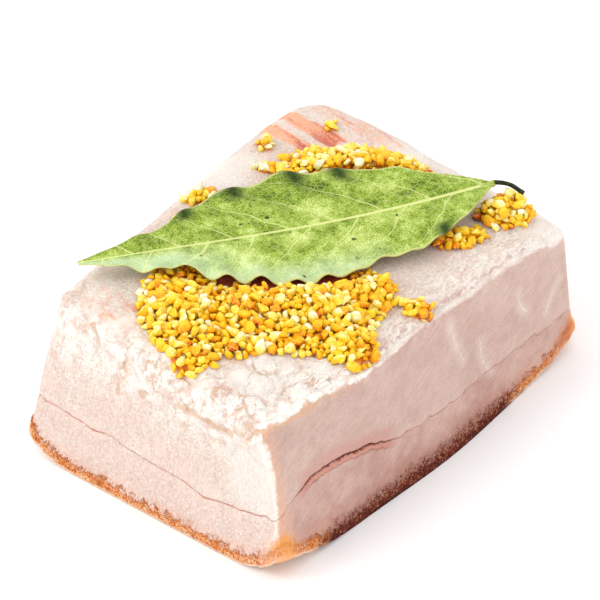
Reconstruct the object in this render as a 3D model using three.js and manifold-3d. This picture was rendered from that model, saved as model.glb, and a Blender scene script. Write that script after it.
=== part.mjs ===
// Salted pork back fat: a hand-cut slab lying on its rind, with golden garlic granules
// on its top and a dried bay leaf resting on them.
// Millimetres, +Z up. X runs along the slab, its long front face looks towards -Y, and the
// origin is under the slab's middle, on the surface that it lies on.
import * as THREE from "three";
import { mergeVertices } from "three/addons/utils/BufferGeometryUtils.js";
import Module from "manifold-3d";

// Slab corners, measured at the outer edge of the rind and at the edge of the top: their places
// in plan, how far the rind would curl up at a sharp corner, the height, the corner radii, and the
// rounding of the top edges as a height
const CORNERS = {
  leftFront: {
    baseX: -43.4, baseY: -32.2, lift: 7.2, baseRadius: 3,
    topX: -40.0, topY: -25.4, height: 30.0, topRadius: 2.5, shoulder: 3.2,
  },
  leftBack: {
    baseX: -43.4, baseY: 27.2, lift: 6.2, baseRadius: 3,
    topX: -37.2, topY: 23.2, height: 33.2, topRadius: 3, shoulder: 1.5,
  },
  rightFront: {
    baseX: 43.9, baseY: -32.6, lift: 7, baseRadius: 3,
    topX: 43.0, topY: -29.6, height: 26.8, topRadius: 3, shoulder: 2.6,
  },
  rightBack: {
    baseX: 43.6, baseY: 32.0, lift: 6.5, baseRadius: 6,
    topX: 42.2, topY: 28.7, height: 31.6, topRadius: 9, shoulder: 2.6,
  },
};
const CURL_ALONG = 5; // how closely the curl keeps to the corners, along X and along Y
const CURL_ACROSS = 7;
const CURL_START = 0.2; // the rind lies flat where it would curl up by less than this
const RIND = 2.2;
const RIND_OVERHANG = 0.35;
const RIND_STEP = 0.9; // height over which the fat sets back above the rind
const UNDERCUT = 0.2; // how far the rind's lower edge lies in from its upper edge
const SHOULDER_DROP = 0.3; // shares of the rounding at the outermost line of the top
const SHOULDER_IN = 0.6;
const UPPER_ROWS = [0.36, 0.72]; // rows of the upper face, as shares of its height
const FRONT_SWELL = 2.0; // outward swell of the front face under the granules
const FRONT_SWELL_AT = -0.36;
const FRONT_SWELL_REACH = 0.3;
const BACK_SWELL = 1.4; // the same for the back face
const BACK_SWELL_AT = 0.3;
const BACK_SWELL_REACH = 0.5;
const BASE_ROUNDING = 0.4; // share of the height over which the corners keep some of the base's radius
const TOP_CROWN = 0.8;

// Membrane seam between the two layers of fat, which gapes near the front left corner
const SEAM_HEIGHT = 10.6;
const SEAM_SLOPE = 1.6; // from the middle to the back
const SEAM_RISE = 6.2;
const SEAM_RISE_AT = -0.66; // shares of the half length
const SEAM_RISE_REACH = 0.38;
const SEAM_RISE_DEPTH = 0.3; // share of the half width
const SEAM_LIP = 0.9;
const SEAM_DEPTH = 0.5;
const SPLIT_DEPTH = 2.6;
const SPLIT_AT = -0.54;
const SPLIT_REACH = 0.34;

// Uneven cut surface, with a crumbled rim along the left end
const RELIEF = 0.4;
const RELIEF_SPACING = 7;
const CRAG = 1.0;
const CRAG_SPACING = 4.2;
const CRAG_FROM = 0.62; // share of the half length where the crumbling starts
const CRAG_LOWEST = 0.7; // share of the height
const SLAB_STEPS_X = 26;
const SLAB_STEPS_Y = 18;
const RIM_CROWDING = 1.35; // above 1 the grid lines stand closer near the edges

// Bay leaf, from its tip at the slab's left back corner to its stalk at the right end
const LEAF_TIP = new THREE.Vector3(-31.4, 23.2, 36.9);
const LEAF_BASE = new THREE.Vector3(38.3, -15.9, 32.6);
const STALK_END = new THREE.Vector3(40.8, -20.7, 30.9);
const LEAF_HALF_WIDTH = 14.2;
const LEAF_TAPER_TIP = 1.3;
const LEAF_TAPER_BASE = 1.0;
const LEAF_TIP_WIDTH = 0.8;
const TIP_BLUNTNESS = 4; // power by which the tip's own width fades along the leaf
const LEAF_BOW = -1.2; // sideways curve of the midrib, towards the front
const LEAF_SAG = -0.8;
const ARCH_SKEW = 1.3; // above 1 the bow and sag are greatest towards the stalk
const FRONT_MARGIN_FALL = -1.0;
const BACK_MARGIN_RISE = 0.9;
const LEAF_THICKNESS = 0.5;
const WAVE_HEIGHT = 1.0;
const WAVE_COUNT = 14;
const WAVE_DRIFT = 0.3; // unevenness of the waves' spacing, in waves
const BACK_WAVES = 0.5; // height of the waves, as a share, along the calmer stretches
const FRONT_WAVES_NEAR_STALK = 0.35;
const STALK_RADIUS = 0.65;
const STALK_ROOT = 0.965; // share of the blade's length where the stalk starts
const STALK_ARCH = new THREE.Vector3(0.4, 0, 0.5);
// Stretches of the leaf's margins that stand out or in: share of the length, side, reach along
// the margin as a share, and how far the stretch goes out and up
const LEAF_LOBES = [
  { at: 0.21, side: -1, reach: 0.03, out: -1.2, up: 1.4 },
  { at: 0.38, side: 1, reach: 0.03, out: 1.2, up: 0 },
  { at: 0.45, side: -1, reach: 0.04, out: 1.2, up: 0 },
  { at: 0.535, side: 1, reach: 0.035, out: 1.6, up: 0 },
  { at: 0.68, side: -1, reach: 0.08, out: -2.4, up: 0 },
];
const LEAF_STEPS = 60;
const LEAF_STEPS_ACROSS = 8;

// Granules lie in oval heaps on the top: centre, half length, half width, turn in degrees,
// and the height of the heap's bed
const HEAPS = [
  { x: -26, y: 3.5, long: 13.5, wide: 8, turn: 49, bed: 0.8 },
  { x: -34.2, y: -4.8, long: 5, wide: 4, turn: 75, bed: 0.4 },
  { x: -13.3, y: -10.3, long: 18, wide: 12, turn: -30, bed: 1.2 },
  { x: -12.7, y: -22, long: 6, wide: 6, turn: -30, bed: 0.6 },
  { x: -1, y: -15, long: 8, wide: 6, turn: -30, bed: 0.6 },
  { x: 26.8, y: 6.3, long: 13.5, wide: 7.7, turn: -49, bed: 1.0 },
  { x: 36.6, y: -19.6, long: 5, wide: 4.6, turn: -35, bed: 1.2 },
  { x: 25.5, y: -18.4, long: 5.5, wide: 2.4, turn: -20, bed: 0 },
  { x: 4, y: -25, long: 3, wide: 2.3, turn: -40, bed: 0 },
  { x: 1.4, y: 22.8, long: 3.4, wide: 1.8, turn: -15, bed: 0 },
  { x: -5.6, y: 20.8, long: 1.6, wide: 1, turn: 0, bed: 0 },
  { x: 16.2, y: 19.2, long: 2.2, wide: 1.2, turn: -50, bed: 0 },
  { x: 21.4, y: 24, long: 1.4, wide: 1.2, turn: 0, bed: 0 },
  { x: 34.5, y: 19.2, long: 1.3, wide: 1.2, turn: 0, bed: 0 },
];
const GRANULE_SMALLEST = 0.8;
const GRANULE_LARGEST = 1.5;
const GRANULE_ROUGHNESS = 0.15; // share by which a granule's corners stand in or out
const GRANULE_STRETCH = 0.35;
const GRANULE_FLATTEST = 0.75;
const GRANULE_SPACING = 2.4;
const TRIES_PER_AREA = 6;
const GRANULE_SINK = 0.4; // share of a granule's half height that is pressed into the fat
const EDGE_DROP = 1.4; // no granule lies further below the even top than this
const HIDDEN_DEPTH = 5; // granules further than this under the leaf are left out
const LEAST_SHOWING = 0.4;
const LEAF_GAP = 0.3;
const PATCH_SPOTS = 16;
const SEED = 20417;

const wasm = await Module();
wasm.setup();

const { lerp, clamp, smoothstep, degToRad } = THREE.MathUtils;

// Seeded random numbers from 0 to 1
function randomSource(seed) {
  let state = seed;
  return () => {
    state = (state + 0x6d2b79f5) | 0;
    let t = Math.imul(state ^ (state >>> 15), 1 | state);
    t = (t + Math.imul(t ^ (t >>> 7), 61 | t)) ^ t;
    return ((t ^ (t >>> 14)) >>> 0) / 4294967296;
  };
}

// Smooth lumps from -1 to 1, about one to each unit of the arguments
function lumps(x, y, z) {
  const cell = [Math.floor(x), Math.floor(y), Math.floor(z)];
  const ease = [x - cell[0], y - cell[1], z - cell[2]].map((f) => f * f * (3 - 2 * f));
  const value = (i, j, k) => {
    let h = Math.imul(cell[0] + i, 374761393) ^ Math.imul(cell[1] + j, 668265263);
    h = Math.imul(h ^ Math.imul(cell[2] + k, 1274126177) ^ (h >>> 13), 1103515245);
    return ((h ^ (h >>> 16)) >>> 0) / 2147483648 - 1;
  };
  const along = (j, k) => lerp(value(0, j, k), value(1, j, k), ease[0]);
  const across = (k) => lerp(along(0, k), along(1, k), ease[1]);
  return lerp(across(0), across(1), ease[2]);
}

// A corner figure, shared out between the four corners at u and v from -1 to 1
function betweenCorners(key, u, v) {
  const a = (u + 1) / 2;
  const front = lerp(CORNERS.leftFront[key], CORNERS.rightFront[key], a);
  const back = lerp(CORNERS.leftBack[key], CORNERS.rightBack[key], a);
  return lerp(front, back, (v + 1) / 2);
}

const HALF_LENGTH = (CORNERS.rightFront.baseX - CORNERS.leftFront.baseX) / 2;
const HALF_WIDTH = (CORNERS.rightBack.baseY - CORNERS.rightFront.baseY) / 2;

// Shares of the plan with each corner turned to a quarter circle of its radius
function roundedPlan(u, v, rise) {
  const [signU, signV] = [Math.sign(u), Math.sign(v)];
  const corner = (key) => betweenCorners(key, signU, signV);
  const radius = lerp(corner("baseRadius"), corner("topRadius"), smoothstep(rise, 0, BASE_ROUNDING));
  const a = Math.max(0, 1 - (1 - Math.abs(u)) * HALF_LENGTH / radius);
  const b = Math.max(0, 1 - (1 - Math.abs(v)) * HALF_WIDTH / radius);
  const inU = a * (1 - Math.sqrt(1 - b * b / 2)) * radius / HALF_LENGTH;
  const inV = b * (1 - Math.sqrt(1 - a * a / 2)) * radius / HALF_WIDTH;
  return [u - signU * inU, v - signV * inV];
}

// Height to which the rind has curled up off the surface that it lies on
function rindLift(u, v) {
  const [pu, pv] = roundedPlan(u, v, 0);
  const corner = betweenCorners("lift", Math.sign(u), Math.sign(v));
  return Math.max(0, corner * Math.abs(pu) ** CURL_ALONG * Math.abs(pv) ** CURL_ACROSS - CURL_START);
}

const topHeight = (u, v) => betweenCorners("height", u, v) + TOP_CROWN * (1 - u * u) * (1 - v * v);

const shoulder = (u, v) => betweenCorners("shoulder", u, v);

// Height of the seam, which rises near the front left corner and stays clear of the rind
function seamHeight(u, v) {
  const along = (u - SEAM_RISE_AT) / SEAM_RISE_REACH;
  const inward = (v + 1) / SEAM_RISE_DEPTH;
  const height = SEAM_HEIGHT + SEAM_SLOPE * v + SEAM_RISE * Math.exp(-(along ** 2) - inward ** 2);
  return Math.max(height, rindLift(u, v) + RIND + RIND_STEP + 2 * SEAM_LIP);
}

// Depth of the seam in the cut face; it is deepest where the front face has split open
function seamDepth(u, v) {
  const split = v > -1 ? 0 : Math.max(0, 1 - ((u - SPLIT_AT) / SPLIT_REACH) ** 2);
  return lerp(SEAM_DEPTH, SPLIT_DEPTH, split);
}

// Height of the upper fat at a share of the way from the seam to the rounded top edge
function upperHeight(u, v, share) {
  return lerp(seamHeight(u, v) + SEAM_LIP, topHeight(u, v) - shoulder(u, v), share);
}

// The slab's levels from the rind up: the height of each, and how far in from the rind it lies
const LEVELS = [
  { height: rindLift, inset: () => UNDERCUT },
  { height: (u, v) => rindLift(u, v) + RIND, inset: () => 0 },
  { height: (u, v) => rindLift(u, v) + RIND + RIND_STEP, inset: () => RIND_OVERHANG },
  { height: (u, v) => seamHeight(u, v) - SEAM_LIP, inset: () => RIND_OVERHANG },
  { height: seamHeight, inset: (u, v) => RIND_OVERHANG + seamDepth(u, v) },
  { height: (u, v) => seamHeight(u, v) + SEAM_LIP, inset: () => RIND_OVERHANG },
  { height: (u, v) => upperHeight(u, v, UPPER_ROWS[0]), inset: () => RIND_OVERHANG / 3 },
  { height: (u, v) => upperHeight(u, v, UPPER_ROWS[1]), inset: () => 0 },
  { height: (u, v) => upperHeight(u, v, 1), inset: () => 0 },
  { height: (u, v) => topHeight(u, v) - shoulder(u, v) * SHOULDER_DROP, inset: () => 0 },
];
const TOP_LEVEL = LEVELS.length - 1;

// Distance from a heap's middle, 1 at its rim
function heapDistance(heap, x, y) {
  const offset = new THREE.Vector2(x - heap.x, y - heap.y);
  offset.rotateAround(new THREE.Vector2(), -degToRad(heap.turn));
  return Math.hypot(offset.x / heap.long, offset.y / heap.wide);
}

// Height of the bed of granules at a place on the top
function bedHeight(x, y) {
  const share = (heap) => Math.max(0, 1 - heapDistance(heap, x, y) ** 2);
  return HEAPS.reduce((height, heap) => Math.max(height, heap.bed * share(heap)), 0);
}

// Swell of the front or the back face along Y, greatest at the top
function faceSwell(u, v, rise) {
  const front = -FRONT_SWELL * Math.exp(-(((u - FRONT_SWELL_AT) / FRONT_SWELL_REACH) ** 2));
  const back = BACK_SWELL * Math.exp(-(((u - BACK_SWELL_AT) / BACK_SWELL_REACH) ** 2));
  return rise * Math.abs(v) * (v < 0 ? front : back);
}

// Point of the smooth slab at shares u and v of its plan, on one of its levels
function smoothPoint(u, v, level) {
  const { height, inset } = LEVELS[level];
  const onRim = Math.abs(u) === 1 || Math.abs(v) === 1;
  const low = rindLift(u, v);
  const high = topHeight(u, v);
  const z = level === TOP_LEVEL && !onRim ? high : height(u, v);
  const rise = clamp((z - low) / (high - low), 0, 1);
  const [pu, pv] = roundedPlan(u, v, rise);
  const x = lerp(betweenCorners("baseX", pu, pv), betweenCorners("topX", pu, pv), rise);
  const y = lerp(betweenCorners("baseY", pu, pv), betweenCorners("topY", pu, pv), rise);
  const point = new THREE.Vector3(x, y + faceSwell(u, v, rise), z);
  if (level === TOP_LEVEL) {
    const edge = shoulder(u, v) * SHOULDER_IN;
    point.multiply(new THREE.Vector3(1 - edge / HALF_LENGTH, 1 - edge / HALF_WIDTH, 1));
    point.z += bedHeight(point.x, point.y);
  } else if (onRim) {
    const outward = new THREE.Vector3(Math.trunc(u), Math.trunc(v), 0).normalize();
    point.addScaledVector(outward, -inset(u, v));
  }
  return point;
}

// The same point on the uneven slab: the underside stays even, the left end's top rim crumbles
function slabPoint(u, v, level) {
  const point = smoothPoint(u, v, level);
  const share = point.z / topHeight(u, v);
  const rough = RELIEF * smoothstep(point.z, 0, RIND * 2);
  const crumbled = CRAG * smoothstep(-u, CRAG_FROM, 1) * smoothstep(share, CRAG_LOWEST, 1);
  const fine = point.clone().divideScalar(RELIEF_SPACING);
  const coarse = point.clone().divideScalar(CRAG_SPACING);
  const uneven = (shift) =>
    rough * lumps(fine.x + shift, fine.y, fine.z) + crumbled * lumps(coarse.x + shift, coarse.y, coarse.z);
  point.add(new THREE.Vector3(uneven(11), uneven(31), level > 1 ? uneven(53) : 0));
  return point;
}

// A geometry with its shared vertices merged, as a closed surface needs
function closedSurface(geometry) {
  geometry.deleteAttribute("normal");
  geometry.deleteAttribute("uv");
  return mergeVertices(geometry, 1e-4);
}

// Share of the half length at a grid line, with the lines crowded towards the edges
function gridShare(value, steps) {
  const even = (Math.round((value + 1) * steps / 2) * 2) / steps - 1;
  return Math.sign(even) * (1 - (1 - Math.abs(even)) ** RIM_CROWDING);
}

function slabGeometry() {
  const box = closedSurface(new THREE.BoxGeometry(2, 2, TOP_LEVEL, SLAB_STEPS_X, SLAB_STEPS_Y, TOP_LEVEL));
  const place = box.getAttribute("position");
  for (let i = 0; i < place.count; i++) {
    const u = gridShare(place.getX(i), SLAB_STEPS_X);
    const v = gridShare(place.getY(i), SLAB_STEPS_Y);
    const point = slabPoint(u, v, Math.round(place.getZ(i) + TOP_LEVEL / 2));
    place.setXYZ(i, point.x, point.y, point.z);
  }
  return box;
}

// Half width of the leaf at a share of its length from the tip
function leafHalfWidth(share) {
  const widest = LEAF_TAPER_TIP / (LEAF_TAPER_TIP + LEAF_TAPER_BASE);
  const taper = (share / widest) ** LEAF_TAPER_TIP * ((1 - share) / (1 - widest)) ** LEAF_TAPER_BASE;
  const blunt = LEAF_TIP_WIDTH * (1 - share) ** TIP_BLUNTNESS;
  return Math.max(STALK_RADIUS * share, LEAF_HALF_WIDTH * taper + blunt);
}

// How far the lobes carry the leaf's margin out or up at a share of its length, on one side
function lobeSize(key, share, side) {
  const near = LEAF_LOBES.filter((lobe) => lobe.side === Math.sign(side));
  return near.reduce((size, lobe) => size + lobe[key] * Math.exp(-(((share - lobe.at) / lobe.reach) ** 2)), 0);
}

// Height of the waves along the leaf's margins, the front one's mostly in its half by the tip
function marginWave(share, side) {
  const back = side > 0;
  const phase = WAVE_COUNT * share + WAVE_DRIFT * lumps(share * 6, back ? 5.5 : 1.5, 0.5);
  const uneven = 0.8 + 0.4 * lumps(share * 9, 0.5, back ? 7.5 : 3.5);
  const calm = back ? BACK_WAVES : lerp(1, FRONT_WAVES_NEAR_STALK, smoothstep(share, 0.45, 0.6));
  const ends = smoothstep(share, 0.02, 0.15) * smoothstep(1 - share, 0.02, 0.15);
  return WAVE_HEIGHT * calm * uneven * ends * Math.sin(2 * Math.PI * phase);
}

// Middle of the leaf's thickness, at a share of its length and a share of its half width
function leafPoint(share, side) {
  const axis = new THREE.Vector3().subVectors(LEAF_BASE, LEAF_TIP);
  const across = new THREE.Vector3(-axis.y, axis.x, 0).normalize();
  const arch = Math.sin(Math.PI * share ** ARCH_SKEW);
  const point = new THREE.Vector3().lerpVectors(LEAF_TIP, LEAF_BASE, share);
  const halfWidth = leafHalfWidth(share) + lobeSize("out", share, side);
  point.addScaledVector(across, halfWidth * side + LEAF_BOW * arch);
  const tilt = side > 0 ? BACK_MARGIN_RISE : FRONT_MARGIN_FALL;
  const margin = marginWave(share, side) + lobeSize("up", share, side);
  point.z += arch * (LEAF_SAG + tilt * side ** 2) + margin * Math.abs(side) ** 3;
  return point;
}

// The blade is two like grids of triangles, a thickness apart, joined round the margin
function leafBladeGeometry() {
  const grid = closedSurface(new THREE.BoxGeometry(1, 2, 1, LEAF_STEPS, LEAF_STEPS_ACROSS, 1));
  const place = grid.getAttribute("position");
  for (let i = 0; i < place.count; i++) {
    const point = leafPoint(clamp(place.getX(i) + 0.5, 0, 1), clamp(place.getY(i), -1, 1));
    place.setXYZ(i, point.x, point.y, point.z + place.getZ(i) * LEAF_THICKNESS);
  }
  return grid;
}

// The stalk arches up out of the blade's midrib and down to its cut end
function stalkGeometry() {
  const bend = new THREE.Vector3().lerpVectors(LEAF_BASE, STALK_END, 0.5).add(STALK_ARCH);
  const root = leafPoint(STALK_ROOT, 0);
  const extrudePath = new THREE.CatmullRomCurve3([root, leafPoint(1, 0), bend, STALK_END]);
  const section = new THREE.Shape().absarc(0, 0, STALK_RADIUS, 0, 2 * Math.PI);
  return closedSurface(new THREE.ExtrudeGeometry(section, { steps: 8, curveSegments: 8, extrudePath }));
}

// One granule: a rough pebble of the given radius, longer one way than the other
function granuleGeometry(radius, random) {
  const pebble = closedSurface(new THREE.IcosahedronGeometry(radius, 0));
  const place = pebble.getAttribute("position");
  const corner = new THREE.Vector3();
  for (let i = 0; i < place.count; i++) {
    corner.fromBufferAttribute(place, i).multiplyScalar(1 + GRANULE_ROUGHNESS * (2 * random() - 1));
    place.setXYZ(i, corner.x, corner.y, corner.z);
  }
  pebble.scale(1 + GRANULE_STRETCH * random(), 1, lerp(GRANULE_FLATTEST, 1, random()));
  pebble.rotateX(random() - 0.5).rotateY(random() - 0.5).rotateZ(2 * Math.PI * random());
  pebble.computeBoundingBox();
  return pebble;
}

// Height at which an upright line from above or from below first meets a mesh, or null
function surfaceHeight(mesh, x, y, fromAbove) {
  const start = new THREE.Vector3(x, y, fromAbove ? 2 * LEAF_TIP.z : 0);
  const direction = new THREE.Vector3(0, 0, fromAbove ? -1 : 1);
  const hits = new THREE.Raycaster(start, direction).intersectObject(mesh);
  return hits.length ? hits[0].point.z : null;
}

// Lowest height of the leaf's underside over a round patch, or Infinity where no leaf is above
function leafAbove(leafMesh, x, y, radius) {
  let lowest = surfaceHeight(leafMesh, x, y, false) ?? Infinity;
  for (let i = 0; i < PATCH_SPOTS; i++) {
    const angle = 2 * Math.PI * i / PATCH_SPOTS;
    const reach = radius * (i % 2 ? 1 : 0.55);
    const height = surfaceHeight(leafMesh, x + reach * Math.cos(angle), y + reach * Math.sin(angle), false);
    lowest = Math.min(lowest, height ?? Infinity);
  }
  return lowest;
}

// Whether the leaf covers a spot and everything near it
function deepUnder(leafMesh, spot) {
  const directions = [[1, 0], [-1, 0], [0, 1], [0, -1]];
  return directions.every(([i, j]) =>
    surfaceHeight(leafMesh, spot.x + i * HIDDEN_DEPTH, spot.y + j * HIDDEN_DEPTH, false) !== null);
}

// Height of the top without its crown and relief
function evenTop(spot) {
  const { leftFront, rightBack } = CORNERS;
  const u = 2 * THREE.MathUtils.inverseLerp(leftFront.topX, rightBack.topX, spot.x) - 1;
  const v = 2 * THREE.MathUtils.inverseLerp(leftFront.topY, rightBack.topY, spot.y) - 1;
  return betweenCorners("height", u, v);
}

// A random spot in a heap
function spotIn(heap, random) {
  const reach = Math.sqrt(random());
  const angle = 2 * Math.PI * random();
  const spot = new THREE.Vector2(heap.long * Math.cos(angle), heap.wide * Math.sin(angle));
  spot.multiplyScalar(reach).rotateAround(new THREE.Vector2(), degToRad(heap.turn));
  return spot.add(new THREE.Vector2(heap.x, heap.y));
}

// Whether a spot is on the top, in sight, and clear of the granules already placed
function isFree(spot, placed, slabMesh, leafMesh) {
  if (placed.some((other) => other.distanceTo(spot) < GRANULE_SPACING)) return false;
  const ground = surfaceHeight(slabMesh, spot.x, spot.y, true);
  return ground !== null && ground > evenTop(spot) - EDGE_DROP && !deepUnder(leafMesh, spot);
}

// Granules spread evenly over the heaps, pressed a little into the fat and kept under the leaf
function granuleSolids(slabMesh, leafMesh) {
  const random = randomSource(SEED);
  const placed = [];
  const solids = [];
  for (const heap of HEAPS) {
    const tries = Math.round(heap.long * heap.wide * TRIES_PER_AREA);
    for (let i = 0; i < tries; i++) {
      const spot = spotIn(heap, random);
      const radius = lerp(GRANULE_SMALLEST, GRANULE_LARGEST, random());
      if (!isFree(spot, placed, slabMesh, leafMesh)) continue;
      const pebble = granuleGeometry(radius, random);
      const { max } = pebble.boundingBox;
      const ground = surfaceHeight(slabMesh, spot.x, spot.y, true);
      const roof = leafAbove(leafMesh, spot.x, spot.y, Math.hypot(max.x, max.y));
      const height = Math.min(ground + max.z * (1 - GRANULE_SINK), roof - LEAF_GAP - max.z);
      if (height + max.z < ground + LEAST_SHOWING) continue;
      solids.push(solidOf(pebble.translate(spot.x, spot.y, height)));
      placed.push(spot);
    }
  }
  return solids;
}

// manifold-3d solid of a closed geometry, and the geometry of a solid
function solidOf(geometry) {
  const vertProperties = new Float32Array(geometry.getAttribute("position").array);
  const triVerts = new Uint32Array(geometry.index.array);
  return new wasm.Manifold(new wasm.Mesh({ numProp: 3, vertProperties, triVerts }));
}

function geometryOf(solid) {
  const { vertProperties, triVerts } = solid.getMesh();
  const geometry = new THREE.BufferGeometry();
  geometry.setAttribute("position", new THREE.BufferAttribute(vertProperties, 3));
  geometry.setIndex(new THREE.BufferAttribute(triVerts, 1));
  return geometry;
}

// Outer body of a fused solid: loose scraps are dropped and sealed hollows filled
function outerBody(solid) {
  return solid.decompose().reduce((best, body) => (body.volume() > best.volume() ? body : best));
}

const fatMaterial = new THREE.MeshStandardMaterial({ color: 0xf6ddd0, roughness: 0.42, metalness: 0 });
const leafMaterial = new THREE.MeshStandardMaterial({ color: 0x7d9a4a, roughness: 0.55, metalness: 0 });

const leafSolid = outerBody(solidOf(leafBladeGeometry()).add(solidOf(stalkGeometry())));
const leafMesh = new THREE.Mesh(geometryOf(leafSolid), leafMaterial);
leafMesh.name = "bay_leaf";

const bareSlab = new THREE.Mesh(slabGeometry(), fatMaterial);
const granules = granuleSolids(bareSlab, leafMesh);
const fatSolid = outerBody(wasm.Manifold.union([solidOf(bareSlab.geometry), ...granules]));
const fatMesh = new THREE.Mesh(geometryOf(fatSolid), fatMaterial);
fatMesh.name = "fat_slab";

const backFat = new THREE.Group();
backFat.add(fatMesh, leafMesh);

export default backFat;
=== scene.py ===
"""Salted pork back fat: a hand-cut slab lying on its rind, strewn with golden garlic granules
under a dried bay leaf.

Sizes in the classes are millimetres, and meshes are written in metres. X runs along the slab,
its long front face looks towards -Y, and it lies on the plane Z = 0.
"""

import logging
import math
from dataclasses import dataclass, field
from enum import Enum, IntEnum
from typing import Any

import bmesh
import bpy
import numpy as np
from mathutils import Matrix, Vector
from mathutils.bvhtree import BVHTree


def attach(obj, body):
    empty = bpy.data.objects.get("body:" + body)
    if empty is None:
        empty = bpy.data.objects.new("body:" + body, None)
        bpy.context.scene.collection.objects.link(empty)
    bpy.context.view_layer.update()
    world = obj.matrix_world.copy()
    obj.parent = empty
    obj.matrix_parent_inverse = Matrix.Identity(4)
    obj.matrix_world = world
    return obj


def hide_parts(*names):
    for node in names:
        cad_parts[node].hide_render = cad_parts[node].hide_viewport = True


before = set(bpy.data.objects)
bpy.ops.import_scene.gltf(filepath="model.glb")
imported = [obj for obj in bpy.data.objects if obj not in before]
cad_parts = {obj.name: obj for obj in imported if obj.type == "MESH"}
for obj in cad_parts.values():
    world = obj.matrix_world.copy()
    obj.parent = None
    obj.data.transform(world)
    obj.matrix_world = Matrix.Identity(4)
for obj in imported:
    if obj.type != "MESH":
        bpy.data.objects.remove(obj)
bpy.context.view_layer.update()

MM = 0.001
BODY = "root"
# Stands on the top for a height well above the seam and the rind
FAR = 30.0
# Large odd numbers that scramble the three whole numbers of a lattice point
HASH_FACTORS = (374761393, 668265263, 1274126177)
HASH_MIX = 1103515245
Array = np.ndarray
Random = np.random.Generator
Triple = tuple[float, float, float]
Colour = tuple[float, float, float, float]
Stops = tuple[tuple[float, Colour], ...]
Curves = tuple[tuple[tuple[float, float], ...], ...]
log = logging.getLogger("back_fat")


class Slot(Enum):
    """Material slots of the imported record."""

    FAT = "fat"
    GRANULES = "granules"
    LEAF = "leaf"


class Solid(Enum):
    """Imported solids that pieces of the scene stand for."""

    SLAB = "fat_slab"
    LEAF = "bay_leaf"


class Level(IntEnum):
    """Levels of the slab's sides, from the rind's underside to the rim of the top."""

    UNDERSIDE = 0
    RIND_TOP = 1
    SET_BACK = 2
    LOWER_LIP = 3
    SEAM = 4
    UPPER_LIP = 5
    THIRD = 6
    TWO_THIRDS = 7
    EDGE = 8
    RIM = 9


class Cells(Enum):
    """What a pattern of cells measures its distances from."""

    MIDDLES = "F1"
    EDGES = "DISTANCE_TO_EDGE"


def lerp(start: Any, end: Any, share: Any) -> Any:
    """The value at a share of the way from start to end."""
    return start + (end - start) * share


def smoothstep(value: Any, low: float, high: float) -> Any:
    """A soft step from 0 at low to 1 at high."""
    share = np.clip((value - low) / (high - low), 0.0, 1.0)
    return share * share * (3.0 - 2.0 * share)


def bump(distance: Any) -> Any:
    """A bell that is 1 at a distance of 0 and fades within about 2."""
    return np.exp(-(distance**2))


def lattice_value(i: Array, j: Array, k: Array) -> Array:
    """A fixed random number for each point of a lattice of whole numbers.

    Args:
        i: whole numbers along X.
        j: whole numbers along Y.
        k: whole numbers along Z.

    Returns:
        Numbers from -1 to 1.
    """
    whole = (np.asarray(n).astype(np.int64).astype(np.uint32) for n in (i, j, k))
    first, second, third = (n * np.uint32(factor) for n, factor in zip(whole, HASH_FACTORS))
    pair = first ^ second
    mixed = (pair ^ third ^ (pair >> np.uint32(13))) * np.uint32(HASH_MIX)
    return (mixed ^ (mixed >> np.uint32(16))) / 2.0**31 - 1.0


def lumps(x: Any, y: Any, z: Any) -> Array:
    """Smooth lumps, about one to each unit of the arguments.

    Args:
        x: places along X.
        y: places along Y.
        z: places along Z.

    Returns:
        Heights from -1 to 1.
    """
    places = np.broadcast_arrays(*(np.atleast_1d(np.asarray(n, float)) for n in (x, y, z)))
    cells = [np.floor(n) for n in places]
    eases = [smoothstep(n - c, 0.0, 1.0) for n, c in zip(places, cells)]
    height = np.zeros_like(places[0])
    for corner in np.ndindex(2, 2, 2):
        weight = np.ones_like(height)
        for step, ease in zip(corner, eases):
            weight = weight * (ease if step else 1.0 - ease)
        height += weight * lattice_value(*(cell + step for cell, step in zip(cells, corner)))
    return height


def lumps_at(points: Array, spacing: Any, shift: float = 0.0) -> Array:
    """Smooth lumps at points, with a spacing for all axes or for each axis.

    Args:
        points: places in millimetres, a row each.
        spacing: distance from lump to lump.
        shift: moves the pattern, so that two uses differ.

    Returns:
        Heights from -1 to 1.
    """
    scaled = points / np.asarray(spacing, float)
    return lumps(scaled[:, 0] + shift, scaled[:, 1], scaled[:, 2])


def ridges_at(points: Array, spacing: Any, shift: float = 0.0) -> Array:
    """Sharp-crested folds at points, from 0 in the hollows to 1 on the crests."""
    return 1.0 - np.abs(lumps_at(points, spacing, shift))


def pebbles_at(points: Array, spacing: float) -> Array:
    """Rounded crumbs packed side by side.

    Args:
        points: places in millimetres, a row each.
        spacing: size of a crumb.

    Returns:
        Heights from 0 between the crumbs to 1 on their tops.
    """
    scaled = points / spacing
    cell = np.floor(scaled)
    nearest = np.full(len(points), np.inf)
    for offset in np.ndindex(3, 3, 3):
        corner = cell + np.array(offset) - 1.0
        i, j, k = corner.T
        jitter = np.stack([lattice_value(i + 57 * n, j, k) for n in range(3)], axis=1)
        apart = ((scaled - corner - 0.5 - 0.4 * jitter) ** 2).sum(axis=1)
        nearest = np.minimum(nearest, apart)
    return np.clip(1.0 - nearest / 0.6, 0.0, 1.0)


def linear(value: int) -> float:
    """A picture value from 0 to 255 as linear light."""
    share = value / 255.0
    return share / 12.92 if share <= 0.04045 else ((share + 0.055) / 1.055) ** 2.4


def srgb(red: int, green: int, blue: int) -> Colour:
    """The linear colour of three picture values from 0 to 255."""
    return (linear(red), linear(green), linear(blue), 1.0)


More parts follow.
